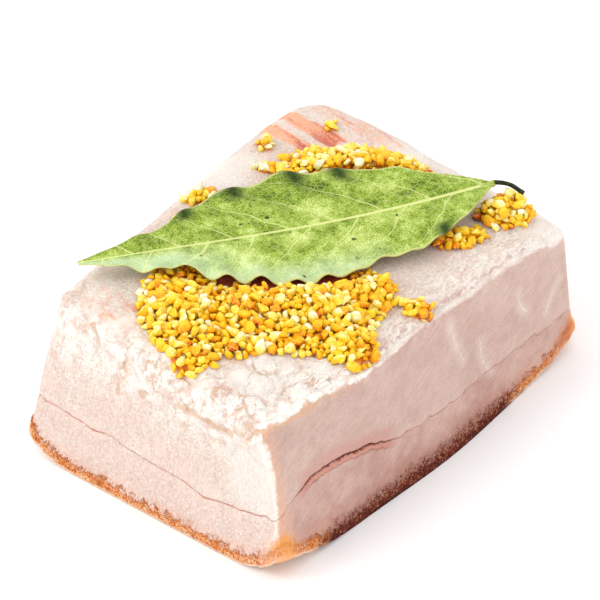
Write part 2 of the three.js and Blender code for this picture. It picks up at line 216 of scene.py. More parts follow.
def gridded_box(cells: tuple[int, int, int]) -> bmesh.types.BMesh:
    """A box from -1 to 1 along each axis, with its faces cut into a grid.

    Args:
        cells: number of cells along X, Y and Z.

    Returns:
        The box as a bmesh.
    """
    box = bmesh.new()
    bmesh.ops.create_cube(box, size=2.0)
    for axis, count in enumerate(cells):
        along = [e for e in box.edges if abs(e.verts[1].co[axis] - e.verts[0].co[axis]) > 1.0]
        if count > 1:
            bmesh.ops.subdivide_edges(box, edges=along, cuts=count - 1)
    return box


def piece_of(name: str, shape: bmesh.types.BMesh) -> bpy.types.Object:
    """An object at the origin with a bmesh's shape, shaded smooth.

    Args:
        name: name of the object and of its mesh.
        shape: the bmesh, which is freed.

    Returns:
        The object.
    """
    mesh = bpy.data.meshes.new(name)
    shape.to_mesh(mesh)
    shape.free()
    mesh.shade_smooth()
    piece = bpy.data.objects.new(name, mesh)
    bpy.context.scene.collection.objects.link(piece)
    return piece


def vertex_rows(mesh: bpy.types.Mesh, kind: str) -> Array:
    """Three numbers for each vertex of a mesh.

    Args:
        mesh: the mesh.
        kind: Blender's name for the numbers.

    Returns:
        The numbers, a row for each vertex.
    """
    flat = np.empty(3 * len(mesh.vertices), np.float32)
    mesh.vertices.foreach_get(kind, flat)
    return flat.reshape(-1, 3).astype(float)


def points_of(mesh: bpy.types.Mesh) -> Array:
    """A mesh's vertices, a row each, in the mesh's own unit."""
    return vertex_rows(mesh, "co")


def normals_of(mesh: bpy.types.Mesh) -> Array:
    """A mesh's vertex normals, a row each."""
    return vertex_rows(mesh, "normal")


def set_points(mesh: bpy.types.Mesh, points: Array) -> None:
    """Moves a mesh's vertices to points given in millimetres."""
    mesh.vertices.foreach_set("co", (points * MM).astype(np.float32).ravel())
    mesh.update()


def set_figures(mesh: bpy.types.Mesh, **figures: Array) -> None:
    """Stores figures of each vertex, which a finish reads by their names.

    Args:
        mesh: the mesh.
        figures: numbers, one for each vertex, by the figure's name.
    """
    for name, values in figures.items():
        figure = mesh.attributes.new(name, "FLOAT", "POINT")
        figure.data.foreach_set("value", np.asarray(values, np.float32))


def triangle_count(piece: bpy.types.Object) -> int:
    """Number of triangles of a piece's mesh."""
    return sum(len(face.vertices) - 2 for face in piece.data.polygons)


class Value:
    """A number, colour or vector at a socket of a finish, with arithmetic for numbers."""

    def __init__(self, finish: "NodeFinish", socket: bpy.types.NodeSocket) -> None:
        """Keeps the socket and the finish that it is in."""
        self.finish = finish
        self.socket = socket

    def combine(self, operation: str, *others: Any) -> "Value":
        """The result of a Math node on this value and others."""
        inputs = dict(enumerate((self, *others)))
        return self.finish.value("ShaderNodeMath", {"operation": operation}, inputs)

    def __add__(self, other: Any) -> "Value":
        """This value plus another."""
        return self.combine("ADD", other)

    __radd__ = __add__

    def __mul__(self, other: Any) -> "Value":
        """This value times another."""
        return self.combine("MULTIPLY", other)

    __rmul__ = __mul__

    def __sub__(self, other: Any) -> "Value":
        """This value less another."""
        return self.combine("SUBTRACT", other)

    def __rsub__(self, other: float) -> "Value":
        """A number less this value."""
        return self.finish.value("ShaderNodeMath", {"operation": "SUBTRACT"}, {0: other, 1: self})

    def __truediv__(self, other: Any) -> "Value":
        """This value divided by another."""
        return self.combine("DIVIDE", other)

    def __abs__(self) -> "Value":
        """This value without its sign."""
        return self.combine("ABSOLUTE")

    def least(self, other: Any) -> "Value":
        """The smaller of this value and another."""
        return self.combine("MINIMUM", other)

    def most(self, other: Any) -> "Value":
        """The larger of this value and another."""
        return self.combine("MAXIMUM", other)

    def repeat(self) -> "Value":
        """This value's part past the whole number below it."""
        return self.combine("FRACT")

    def ridge(self, reach: Any) -> "Value":
        """A ridge that is 1 where this value is 0 and falls evenly to 0 at a reach on either side."""
        return (1.0 - abs(self) / reach).most(0.0)

    def step(self, low: float, high: float) -> "Value":
        """A soft step from 0 where this value is low to 1 where it is high.

        Args:
            low: where the step starts.
            high: where it ends, which may be the smaller number.

        Returns:
            The step.
        """
        span = (low, high, 0.0, 1.0) if low < high else (high, low, 1.0, 0.0)
        inputs = dict(enumerate((self, *span)))
        return self.finish.value("ShaderNodeMapRange", {"interpolation_type": "SMOOTHSTEP"}, inputs)


class NodeFinish:
    """A material that is made of nodes, with short ways to add the nodes."""

    def __init__(self, name: str) -> None:
        """Starts a material with nothing but its piece's coordinates in millimetres.

        Args:
            name: the material's name.
        """
        self.material = bpy.data.materials.new(name)
        self.material.use_nodes = True
        self.tree = self.material.node_tree
        self.tree.nodes.clear()
        metres = self.value("ShaderNodeTexCoord", {}, {}, "Object")
        inputs = {0: metres, "Scale": 1.0 / MM}
        self.place = self.value("ShaderNodeVectorMath", {"operation": "SCALE"}, inputs)

    def node(self, kind: str, settings: dict[str, Any], inputs: dict[Any, Any]) -> bpy.types.Node:
        """Adds a node.

        Args:
            kind: the node's type.
            settings: its own settings, which are set first; stops are a ramp's places and colours.
            inputs: numbers, colours or values for its sockets, by name or number.

        Returns:
            The node.
        """
        made = self.tree.nodes.new(kind)
        for name, setting in settings.items():
            if name == "stops":
                self.set_stops(made.color_ramp, setting)
            else:
                setattr(made, name, setting)
        for name, given in inputs.items():
            if isinstance(given, Value):
                self.tree.links.new(given.socket, made.inputs[name])
            else:
                made.inputs[name].default_value = given
        return made

    def set_stops(self, ramp: bpy.types.ColorRamp, stops: Stops) -> None:
        """Gives a ramp its colours.

        Args:
            ramp: the ramp of a node.
            stops: places and colours, in order.
        """
        while len(ramp.elements) < len(stops):
            ramp.elements.new(1.0)
        for element, (place, colour) in zip(ramp.elements, stops):
            element.position = place
            element.color = colour

    def value(self, kind: str, settings: dict[str, Any], inputs: dict[Any, Any], out: Any = 0) -> Value:
        """Adds a node and gives the value at one of its outputs."""
        return Value(self, self.node(kind, settings, inputs).outputs[out])

    def warped(self, scale: float, amount: float) -> Value:
        """The piece's coordinates, pushed about by noise.

        Args:
            scale: features of the noise to the millimetre.
            amount: the longest push in millimetres.

        Returns:
            The coordinates.
        """
        push = self.value("ShaderNodeTexNoise", {}, {"Vector": self.place, "Scale": scale}, 1)
        inputs = {0: push, 1: (amount, amount, amount), 2: self.place}
        return self.value("ShaderNodeVectorMath", {"operation": "MULTIPLY_ADD"}, inputs)

    def coordinate(self, axis: int) -> Value:
        """One of the piece's three coordinates."""
        return self.value("ShaderNodeSeparateXYZ", {}, {0: self.place}, axis)

    def noise(
        self, scale: float, detail: float = 2.0, rough: float = 0.5, place: Value | None = None
    ) -> Value:
        """Cloudy noise from about 0.2 to 0.8, with scale features to the millimetre."""
        inputs = {"Vector": place or self.place, "Scale": scale, "Detail": detail, "Roughness": rough}
        return self.value("ShaderNodeTexNoise", {}, inputs, 0)

    def strands(
        self, turn: Triple, cell: Triple, detail: float, rough: float = 0.5, place: Value | None = None
    ) -> Value:
        """Noise that is drawn out along turned axes.

        Args:
            turn: angles about X, Y and Z in degrees.
            cell: size of a feature along each turned axis.
            detail: number of finer layers.
            rough: strength of the finer layers.
            place: coordinates in millimetres, the piece's own if none are given.

        Returns:
            The noise, from about 0.2 to 0.8.
        """
        angles = tuple(math.radians(angle) for angle in turn)
        inputs = {"Vector": place or self.place, "Rotation": angles, "Scale": cell}
        turned = self.value("ShaderNodeMapping", {"vector_type": "TEXTURE"}, inputs)
        return self.noise(1.0, detail, rough, turned)

    def cells(
        self, scale: float, feature: Cells, place: Value | None = None, out: str = "Distance"
    ) -> Value:
        """Cells packed side by side, with scale cells to the millimetre."""
        inputs = {"Vector": place or self.place, "Scale": scale}
        return self.value("ShaderNodeTexVoronoi", {"feature": feature.value}, inputs, out)

    def tints(self, scale: float, place: Value) -> Value:
        """A number from 0 to 1 for each cell: its random colour, made grey by a Math node."""
        return self.cells(scale, Cells.MIDDLES, place, "Color") * 1.0

    def ramp(self, stops: Stops, tone: Value) -> Value:
        """The colour at a tone along a ramp's stops."""
        return self.value("ShaderNodeValToRGB", {"stops": stops}, {0: tone})

    def figure(self, name: str) -> Value:
        """A number that the mesh stores for each vertex."""
        return self.value("ShaderNodeAttribute", {"attribute_name": name}, {}, "Fac")

    def mix(self, share: Any, first: Any, second: Any) -> Value:
        """A colour that goes from the first to the second by a share."""
        return self.value("ShaderNodeMix", {"data_type": "RGBA"}, {0: share, 6: first, 7: second}, 2)

    def shade(self, colour: Value, factor: Value) -> Value:
        """A colour made darker or lighter.

        Args:
            colour: the colour.
            factor: what each of its parts is multiplied by.

        Returns:
            The new colour.
        """
        settings = {"data_type": "RGBA", "blend_type": "MULTIPLY"}
        grey = self.value("ShaderNodeCombineColor", {}, {0: factor, 1: factor, 2: factor})
        return self.value("ShaderNodeMix", settings, {0: 1.0, 6: colour, 7: grey}, 2)

    def relief(self, height: Value, strength: float = 1.0) -> Value:
        """Normals of a relief whose height is in millimetres."""
        inputs = {"Height": height, "Distance": MM, "Strength": strength}
        return self.value("ShaderNodeBump", {}, inputs)

    def finish_with(self, inputs: dict[str, Any]) -> bpy.types.Material:
        """Closes the material with a Principled shader.

        Args:
            inputs: numbers, colours or values for the shader's sockets.

        Returns:
            The finished material.
        """
        shader = self.node("ShaderNodeBsdfPrincipled", {}, inputs)
        output = self.node("ShaderNodeOutputMaterial", {}, {})
        self.tree.links.new(shader.outputs[0], output.inputs["Surface"])
        return self.material


@dataclass(frozen=True)
class FatFinish:
    """Waxy pinkish fat with its membrane seam, stains and brown rind, and with painted light and shade."""

    cream: Colour = srgb(230, 215, 203)
    pink: Colour = srgb(227, 204, 193)
    # Long cut faces: partly the fat's own tint, partly painted shade
    shaded_mauve: Colour = srgb(192, 161, 150)
    low_shaded_mauve: Colour = srgb(183, 144, 133)
    peach: Colour = srgb(214, 170, 146)
    beige: Colour = srgb(212, 164, 126)
    white: Colour = srgb(250, 246, 238)
    pit: Colour = srgb(208, 172, 156)
    seam_pink: Colour = srgb(196, 128, 106)
    split_red: Colour = srgb(128, 58, 40)
    lip_red: Colour = srgb(206, 136, 110)
    rose: Colour = srgb(198, 142, 130)
    meat: Colour = srgb(240, 172, 134)
    deep_meat: Colour = srgb(196, 92, 68)
    amber: Colour = srgb(244, 150, 12)
    # Painted shadow under the leaf's front margin
    shadow_maroon: Colour = srgb(176, 56, 14)
    # White of crumbs, and painted highlight
    chalk_and_highlight: Colour = srgb(240, 231, 222)
    foot: Colour = srgb(240, 158, 62)
    # The right foot is darker than the left: partly its own colour, partly painted shade
    shaded_right_foot: Colour = srgb(196, 108, 52)
    blush: Colour = srgb(232, 156, 116)
    rind_edge: Colour = srgb(244, 214, 194)
    baked: Stops = (
        (0.24, srgb(166, 82, 34)),
        (0.42, srgb(208, 118, 52)),
        (0.6, srgb(226, 148, 84)),
        (0.82, srgb(246, 214, 178)),
    )
    charred: Stops = (
        (0.2, srgb(66, 16, 7)),
        (0.44, srgb(104, 38, 22)),
        (0.7, srgb(150, 78, 52)),
        (0.95, srgb(214, 158, 122)),
    )
    subsurface: float = 0.3
    scatter: Triple = (1.0, 0.5, 0.36)
    depth: float = 1.6
    gloss: float = 0.22

    def build(self) -> bpy.types.Material:
        """Makes the material.

        Returns:
            The finished material.
        """
        nodes = NodeFinish("fat")
        grain = nodes.noise(2.6, 3.0, 0.65)
        mottle = nodes.noise(0.42, 4.0)
        colour = self.layers(nodes, mottle)
        colour, flakes = self.crumbled(nodes, colour, mottle)
        colour = self.front_edge(nodes, colour, mottle)
        colour, fibre = self.fibres(nodes, colour)
        colour = nodes.shade(colour, 0.76 + 0.48 * grain)
        colour = self.top_stains_and_shadow(nodes, colour, grain)
        colour = self.seam(nodes, colour, mottle)
        colour, rind, crumbs = self.rind(nodes, colour, mottle)
        height = flakes + grain * 0.12 + fibre * 0.12 - rind * crumbs * 0.4
        inputs = {
            "Base Color": colour,
            "Roughness": 0.34 + 0.22 * grain + 0.4 * rind,
            "Normal": nodes.relief(height, 0.9),
            "Subsurface Weight": self.subsurface,
            "Subsurface Radius": self.scatter,
            "Subsurface Scale": self.depth * MM,
            "Specular IOR Level": self.gloss,
        }
        return nodes.finish_with(inputs)

    def layers(self, nodes: NodeFinish, mottle: Value) -> Value:
        """Cream fat with pink clouds, and on the long cut faces a greyish pink that is partly the fat's own
        tint and partly painted shade, darker below the seam.

        Args:
            nodes: the material that is being made.
            mottle: coarse noise.

        Returns:
            The colour.
        """
        clouds = nodes.noise(0.1, 2.0)
        patches = (clouds * 0.7 + mottle * 0.5).step(0.42, 0.78)
        below = nodes.figure("above_seam").step(0.4, -0.4)
        colour = nodes.mix(patches * (1.0 - 0.8 * below), self.pink, self.cream)
        face = nodes.mix(below, self.shaded_mauve, self.low_shaded_mauve)
        face = nodes.mix(patches * 0.3, face, self.pink)
        face = nodes.mix(nodes.figure("peach"), face, self.peach)
        # The long faces get their colour with painted shade
        return nodes.mix(nodes.figure("front"), colour, face)

    def crumbled(self, nodes: NodeFinish, colour: Value, mottle: Value) -> tuple[Value, Value]:
        """White flakes, pits and beige cracks where the surface crumbled.

        Args:
            nodes: the material that is being made.
            colour: the fat's colour.
            mottle: coarse noise.

        Returns:
            The new colour, and the relief's height.
        """
        crumble = nodes.figure("crumble")
        warped = nodes.warped(0.4, 3.0)
        edge = nodes.cells(0.24, Cells.EDGES, warped)
        broken = nodes.noise(0.2, 3.0)
        colour = nodes.mix(crumble * mottle.step(0.36, 0.54) * 0.9, colour, self.white)
        crack = crumble * edge.step(0.09, 0.02) * broken.step(0.46, 0.6)
        clefts = nodes.strands((22.0, 0.0, 0.0), (3.4, 1.5, 5.0), 3.0, place=warped)
        toast = crumble * clefts.step(0.58, 0.68) * 0.7
        colour = nodes.mix(crack.most(toast) * 0.75, colour, self.beige)
        pits = nodes.noise(1.9, 3.0, 0.75)
        pitted = (1.0 - nodes.figure("front")) * broken.step(0.3, 0.5)
        colour = nodes.mix(pitted * pits.step(0.5, 0.36) * 0.6, colour, self.pit)
        colour = nodes.mix(pitted * pits.step(0.54, 0.66) * 0.6, colour, self.white)
        flake = nodes.strands((0.0, 0.0, 8.0), (3.2, 0.7, 0.7), 3.0, 0.6, warped)
        flaky = nodes.figure("flaky")
        colour = nodes.mix(flaky * flake.step(0.45, 0.58), colour, self.white)
        colour = nodes.mix(flaky * flake.step(0.4, 0.32) * 0.5, colour, self.pit)
        # White crumbs on the top, painted highlight down the left end's front edge, and the top's whitened
        # places
        white_and_highlight = nodes.figure("white") + 0.9 * (nodes.noise(1.1, 4.0, 0.7) - 0.5)
        colour = nodes.mix(white_and_highlight.step(0.2, 0.8) * 0.9, colour, self.chalk_and_highlight)
        cleft = nodes.figure("cleft") + 1.4 * (pits - 0.5)
        colour = nodes.mix(cleft.step(0.25, 0.9) * 0.6, colour, self.beige)
        relief = crumble * ((mottle - 0.5) * 0.5 + (edge.step(0.0, 0.15) - 1.0) * 0.25)
        relief = relief + pitted * (pits - 0.5) * 0.3
        return colour, relief + flaky * (flake - 0.5) * 0.5

    def front_edge(self, nodes: NodeFinish, colour: Value, mottle: Value) -> Value:
        """The ragged white line along the top's front edge, with a tan line under it.

        Args:
            nodes: the material that is being made.
            colour: the fat's colour.
            mottle: coarse noise.

        Returns:
            The new colour.
        """
        torn = nodes.figure("brim") + 1.1 * (nodes.noise(0.5, 4.0) - 0.5)
        along = nodes.coordinate(0)
        ahead = nodes.coordinate(1).step(-19.0, -23.0)
        left = ahead * (along.step(2.0, -16.0) * 0.75 + 0.25)
        tan = (torn - 0.35).ridge(0.28) * along.step(-12.0, -30.0) * ahead
        colour = nodes.mix(tan * 0.7, colour, self.beige)
        right = along.step(40.0, 43.0) * nodes.figure("front")
        colour = nodes.mix(right * 0.45, colour, self.peach)
        line = (torn - 0.85).ridge(0.4).step(0.0, 0.6)
        return nodes.mix(line * left * mottle.step(0.3, 0.5), colour, self.white)

    def fibres(self, nodes: NodeFinish, colour: Value) -> tuple[Value, Value]:
        """Fine slanting fibres of the cut faces, and curved pale streaks.

        Args:
            nodes: the material that is being made.
            colour: the fat's colour.

        Returns:
            The new colour, and the height of the fibres.
        """
        slanting = nodes.strands((0.0, -26.0, 0.0), (5.0, 0.8, 0.36), 3.0, 0.65)
        upright = nodes.strands((0.0, 0.0, 0.0), (0.7, 0.5, 6.0), 2.0, 0.6)
        front = nodes.figure("front")
        fibre = slanting * front + upright * (1.0 - front) * 0.4 + 0.2
        colour = nodes.shade(colour, 0.72 + 0.5 * fibre)
        streak = nodes.figure("streak")
        thin = 0.25 + 0.5 * nodes.noise(0.6, 2.0)
        pale = (streak / thin).step(1.2, 0.0) * 0.42
        return nodes.mix(pale.most(streak.step(2.2, 0.0) * 0.2), colour, self.white), fibre

    def top_stains_and_shadow(self, nodes: NodeFinish, colour: Value, grain: Value) -> Value:
        """Bands of meat at the back corner, the fat stained golden between the granules, and painted shadow
        in dark red-brown under the leaf's front margin.

        Args:
            nodes: the material that is being made.
            colour: the fat's colour.
            grain: fine noise.

        Returns:
            The new colour.
        """
        strand = nodes.strands((0.0, 0.0, 84.0), (9.0, 1.1, 9.0), 3.0)
        red = (strand + 0.9 * (grain - 0.5) + 0.4 * nodes.figure("raw")).step(0.45, 0.85)
        torn = nodes.noise(0.5, 4.0, 0.6) - 0.5
        meat = (nodes.figure("meat") + 0.7 * (strand - 0.5) + 1.3 * torn).step(0.2, 0.95)
        colour = nodes.mix(meat * 0.9, colour, nodes.mix(red, self.meat, self.deep_meat))
        # Golden staining round the heaps, with painted shadow in dark red-brown under the leaf's front margin
        stain_and_shade = nodes.figure("dust") + 0.9 * (grain - 0.5)
        gold_and_shadow = nodes.mix(nodes.figure("dusk"), self.amber, self.shadow_maroon)
        return nodes.mix(stain_and_shade.step(0.2, 0.75) * 0.92, colour, gold_and_shadow)

    def seam(self, nodes: NodeFinish, colour: Value, mottle: Value) -> Value:
        """The pinkish membrane line, and the stained split in the front face.

        Args:
            nodes: the material that is being made.
            colour: the fat's colour.
            mottle: coarse noise.

        Returns:
            The new colour.
        """
        split = nodes.figure("split")
        gap = nodes.figure("above_seam")
        wander = nodes.noise(0.7, 3.0) - 0.5
        jagged = nodes.noise(1.5, 4.0, 0.75) - 0.5
        stained = split.step(0.05, 0.5) * (gap + 3.0 * wander + jagged).step(4.0, 1.4) * gap.step(-1.6, -0.2)
        colour = nodes.mix(stained * (mottle * 1.2 + 1.2 * jagged).least(0.6).most(0.0), colour, self.rose)
        lip = split.step(0.1, 0.6) * (gap + 0.5 + 1.2 * jagged).ridge(0.45).step(0.0, 0.8)
        colour = nodes.mix(lip * (0.6 + 1.2 * jagged).least(0.9).most(0.0), colour, self.lip_red)
        fold = split.step(0.2, 0.6) * (gap + 0.95 + wander + 1.2 * jagged).ridge(0.3)
        broken = nodes.noise(0.16, 2.0).step(0.38, 0.56)
        line = (gap - 0.04 + 0.4 * wander + 1.3 * split * jagged).ridge(0.24 + 0.22 * split)
        along = nodes.coordinate(0)
        strength = 0.08 + 0.6 * broken * along.step(38.0, 20.0) + 0.9 * split
        strength = strength + 0.35 * along.step(-35.0, -38.0)
        line = line.step(0.0, 0.8) * strength.least(1.0)
        dark = nodes.mix(split.step(0.05, 0.5), self.seam_pink, self.split_red)
        return nodes.mix(line.most(fold * 0.6), colour, dark)

    def rind(self, nodes: NodeFinish, colour: Value, mottle: Value) -> tuple[Value, Value, Value]:
        """The crumbly rind, baked orange or charred, which blushes up into the fat.

        Args:
            nodes: the material that is being made.
            colour: the fat's colour.
            mottle: coarse noise.

        Returns:
            The colour with the rind, how far each place is rind, and the depth round its crumbs.
        """
        up = nodes.figure("up")
        char = nodes.figure("char")
        uneven = nodes.warped(1.2, 0.7)
        crumbs = nodes.cells(1.2, Cells.MIDDLES, uneven)
        tint = nodes.tints(1.2, uneven)
        fine = nodes.tints(2.6, uneven)
        speck = nodes.noise(4.2, 2.0, 0.6)
        ragged = 1.3 * (tint - 0.5) * (1.0 - 0.6 * char) + 0.9 * (fine - 0.5) + 1.8 * (mottle - 0.5)
        ragged = ragged + 2.6 * (speck - 0.5)
        reach = 2.2 + 0.5 * char
        rind = (up + ragged - reach) / (1.0 + 2.4 * char)
        rind = rind.step(0.35, -0.35) * (1.0 - 0.7 * nodes.figure("foot"))
        fade = ((up + 0.8 * ragged) / (reach + 2.4 + 3.2 * char)).step(1.0, 0.15)
        tone = 0.4 * tint + 0.4 * fine + 1.9 * (speck - 0.5) + 0.1
        baked = nodes.ramp(self.baked, tone)
        paler = 0.13 * (up - 1.9)
        charred = nodes.ramp(self.charred, tone + paler)
        baked = nodes.mix((up + ragged * 0.25).step(0.6, 0.15) * 0.7, baked, self.rind_edge)
        blush = nodes.mix(char, self.blush, self.charred[2][1])
        colour = nodes.mix(fade * (0.5 + 0.04 * char), colour, blush)
        orange = nodes.figure("foot") + 0.9 * (mottle - 0.5) + 0.5 * (fine - 0.5)
        along = nodes.coordinate(0)
        # Orange feet of the rind; the right one is darker, partly painted shade
        stain_and_shade = nodes.mix(along.step(0.0, 20.0) * along.step(42.6, 40.0), self.foot, self.shaded_right_foot)
        colour = nodes.mix(orange.step(0.2, 0.9) * 0.85, colour, stain_and_shade)
        burnt = (char + 0.9 * (mottle - 0.5)).step(0.2, 0.7)
        return nodes.mix(rind, colour, nodes.mix(burnt, baked, charred)), rind, crumbs


@dataclass(frozen=True)
class GranuleFinish:
    """Golden, slightly translucent dried garlic."""

    tones: Stops = (
        # The darkest stop is painted shadow, for granules under the leaf
        (0.0, srgb(128, 44, 4)),
        (0.07, srgb(222, 104, 2)),
        (0.2, srgb(250, 156, 4)),
        (0.42, srgb(255, 194, 18)),
        (0.66, srgb(255, 214, 42)),
        # The palest stops, reached on tops and at fine specks, are partly pale granules and partly painted
        # highlight
        (0.86, srgb(255, 236, 122)),
        (1.0, srgb(255, 249, 216)),
    )
    subsurface: float = 0.25
    scatter: Triple = (1.0, 0.7, 0.3)
    depth: float = 0.7
    gloss: float = 0.35

    def build(self) -> bpy.types.Material:
        """Makes the material.

        Returns:
            The finished material.
        """
        nodes = NodeFinish("garlic_granules")
        mottle = nodes.noise(0.9, 3.0)
        grain = nodes.noise(3.0, 2.0)
        tone = nodes.figure("tone") + 0.5 * (mottle - 0.5) + 0.8 * (grain - 0.5) - 0.03
        colour = nodes.ramp(self.tones, tone)
        inputs = {
            "Base Color": colour,
            "Roughness": 0.18 + 0.25 * mottle,
            "Normal": nodes.relief(0.3 * grain + 0.3 * mottle, 0.8),
            "Subsurface Weight": self.subsurface,
            "Subsurface Radius": self.scatter,
            "Subsurface Scale": self.depth * MM,
            "Specular IOR Level": self.gloss,
        }
        return nodes.finish_with(inputs)


@dataclass(frozen=True)
class LeafFinish:
    """Dried bay leaf: mottled green with pale veins, and a painted sheen of pale grey-green on its front
    margin and tip.
    """

    greens: Stops = (
        (0.06, srgb(56, 84, 10)),
        (0.38, srgb(124, 150, 36)),
        (0.62, srgb(166, 190, 78)),
        (0.95, srgb(222, 234, 154)),
    )
    shade: Colour = srgb(16, 46, 8)
    vein: Colour = srgb(224, 230, 150)
    painted_sheen: Colour = srgb(196, 220, 188)
    # Pale line along the margins: painted highlight
    rim: Colour = srgb(214, 214, 138)
    underside: Colour = srgb(164, 174, 116)
    speck: Colour = srgb(58, 70, 28)
    gloss: float = 0.1
    vein_spacing: float = 9.6
    vein_lean: float = 0.8
    vein_curve: float = 0.035
    vein_stagger: float = 0.42

    def build(self) -> bpy.types.Material:
        """Makes the material.

        Returns:
            The finished material.
        """
        nodes = NodeFinish("bay_leaf")
        grain = nodes.noise(3.8, 3.0, 0.75)
        mottle = nodes.noise(0.25, 3.0)
        across = nodes.figure("across")
        out = nodes.figure("from_midrib")
        blotch = nodes.noise(0.7, 3.0)
        tone = 1.9 * (grain - 0.5) + 0.6 * (blotch - 0.5) + 1.2 * (mottle - 0.5) - 0.16 * across
        along = nodes.figure("along")
        tone = tone + along.step(0.5, 0.75) * (0.1 * across - 0.02)
        colour = nodes.ramp(self.greens, tone + 0.5)
        # Painted sheen: pale grey-green on the front margin and at the tip
        sheen_share = across.step(-0.5, -1.0) * along.step(0.75, 0.5)
        sheen_share = sheen_share.most(across.step(0.1, -0.7) * along.step(0.42, 0.2))
        colour = nodes.mix(sheen_share * (0.3 + 0.6 * mottle), colour, self.painted_sheen)
        specks = nodes.cells(0.28, Cells.MIDDLES).step(0.16, 0.08)
        colour = nodes.mix(specks * mottle.step(0.45, 0.6), colour, self.speck)
        veins = self.veins(nodes, out)
        net = nodes.cells(0.85, Cells.EDGES).step(0.12, 0.02)
        colour = nodes.mix((veins * 0.85).most(net * 0.22), colour, self.vein)
        # Painted highlight along the margins
        colour = nodes.mix(abs(across).step(0.955, 0.985) * 0.8, colour, self.rim)
        # Painted shade in the margin's folds
        colour = nodes.mix(nodes.figure("fold") * 0.92, colour, self.shade)
        colour = nodes.mix(nodes.figure("under") * 0.7, colour, self.underside)
        inputs = {
            "Base Color": colour,
            "Roughness": 0.4 + 0.2 * mottle + 0.1 * grain,
            "Normal": nodes.relief(0.12 * veins + 0.06 * net + 0.1 * grain, 0.8),
            "Specular IOR Level": self.gloss,
        }
        return nodes.finish_with(inputs)

    def veins(self, nodes: NodeFinish, out: Value) -> Value:
        """The midrib and the side veins, which lean and curve towards the tip.

        Args:
            nodes: the material that is being made.
            out: distance from the midrib in millimetres.

        Returns:
            1 on a vein and 0 between veins.
        """
        along = nodes.figure("along")
        midrib = (out / (0.24 + 0.32 * along)).step(1.0, 0.5)
        wander = nodes.noise(0.12, 2.0) - 0.5
        path = along * BayLeaf.length + self.vein_lean * out + self.vein_curve * out * out + 5.0 * wander
        stagger = self.vein_stagger * nodes.figure("across").step(-0.01, 0.01)
        turn = (path / self.vein_spacing + stagger).repeat()
        apart = abs(turn - 0.5) * self.vein_spacing
        thin = (0.42 - 0.02 * out).most(0.16)
        return midrib.most((apart / thin).step(1.0, 0.3) * 0.8)


@dataclass(frozen=True)
class StalkFinish:
    """Dark dried stalk with worn patches, green where it comes out of the leaf."""

    bark: Colour = srgb(26, 34, 14)
    worn: Colour = srgb(66, 72, 34)
    root: Colour = srgb(168, 186, 84)
    gloss: float = 0.25

    def build(self) -> bpy.types.Material:
        """Makes the material.

        Returns:
            The finished material.
        """
        nodes = NodeFinish("leaf_stalk")
        mottle = nodes.noise(1.4, 3.0)
        colour = nodes.mix(mottle.step(0.45, 0.75), self.bark, self.worn)
        colour = nodes.mix(nodes.figure("along").step(0.35, 0.28), colour, self.root)
        inputs = {
            "Base Color": colour,
            "Roughness": 0.45 + 0.2 * mottle,
            "Normal": nodes.relief(0.3 * mottle, 0.7),
            "Specular IOR Level": self.gloss,
        }
        return nodes.finish_with(inputs)


@dataclass(frozen=True)
class FloorFinish:
    """Plain white studio surface."""

    white: Colour = srgb(250, 250, 250)
    shade: Colour = srgb(246, 246, 247)

    def build(self) -> bpy.types.Material:
        """Makes the material.

        Returns:
            The finished material.
        """
        nodes = NodeFinish("studio_floor")
        colour = nodes.mix(nodes.noise(0.004, 2.0), self.white, self.shade)
        return nodes.finish_with({"Base Color": colour, "Roughness": 0.8})


@dataclass(frozen=True)
class Heap:
    """An oval heap of granules on the slab's top: its middle, half length and half width, its turn in
    degrees, the height of the fat's bed under it, and how high the granules pile up."""

    x: float
    y: float
    long: float
    wide: float
    turn: float
    bed: float
    pile: float

    def distance(self, x: Any, y: Any) -> Any:
        """Distance from the heap's middle, 1 at its rim.

        Args:
            x: place along X.
            y: place along Y.

        Returns:
            The distance.
        """
        angle = math.radians(self.turn)
        along = (x - self.x) * math.cos(angle) + (y - self.y) * math.sin(angle)
        aside = (y - self.y) * math.cos(angle) - (x - self.x) * math.sin(angle)
        return np.hypot(along / self.long, aside / self.wide)

    def spot(self, reach: float, direction: float) -> tuple[float, float]:
        """The place at a share of the way from the middle to the rim.

        Args:
            reach: share of the way.
            direction: direction from the middle, in radians.

        Returns:
            The place along X and Y.
        """
        angle = math.radians(self.turn)
        along = reach * self.long * math.cos(direction)
        aside = reach * self.wide * math.sin(direction)
        x = self.x + along * math.cos(angle) - aside * math.sin(angle)
        y = self.y + along * math.sin(angle) + aside * math.cos(angle)
        return x, y

    def area(self) -> float:
        """Area that the heap covers."""
        return math.pi * self.long * self.wide


HEAPS = (
    Heap(-26.0, 3.5, 13.5, 8.0, 49.0, 0.8, 1.6),
    Heap(-34.2, -4.8, 5.0, 4.0, 75.0, 0.4, 1.2),
    Heap(-13.3, -10.3, 18.0, 12.0, -30.0, 1.2, 2.2),
    Heap(-12.7, -22.0, 6.0, 6.0, -30.0, 0.6, 1.4),
    Heap(-1.0, -15.0, 8.0, 6.0, -30.0, 0.6, 1.4),
    Heap(26.8, 6.3, 13.5, 7.7, -49.0, 1.0, 1.6),
    Heap(36.6, -19.6, 5.0, 4.6, -35.0, 1.2, 2.2),
    Heap(25.5, -18.4, 5.5, 2.4, -20.0, 0.0, 0.9),
    Heap(4.0, -25.0, 3.0, 2.3, -40.0, 0.0, 0.6),
    Heap(1.4, 22.8, 3.4, 1.8, -15.0, 0.0, 0.6),
    Heap(-5.6, 20.8, 1.6, 1.0, 0.0, 0.0, 0.3),
    Heap(16.2, 19.2, 2.2, 1.2, -50.0, 0.0, 0.4),
    Heap(21.4, 24.0, 1.4, 1.2, 0.0, 0.0, 0.4),
    Heap(34.5, 19.2, 1.3, 1.2, 0.0, 0.0, 0.4),
)


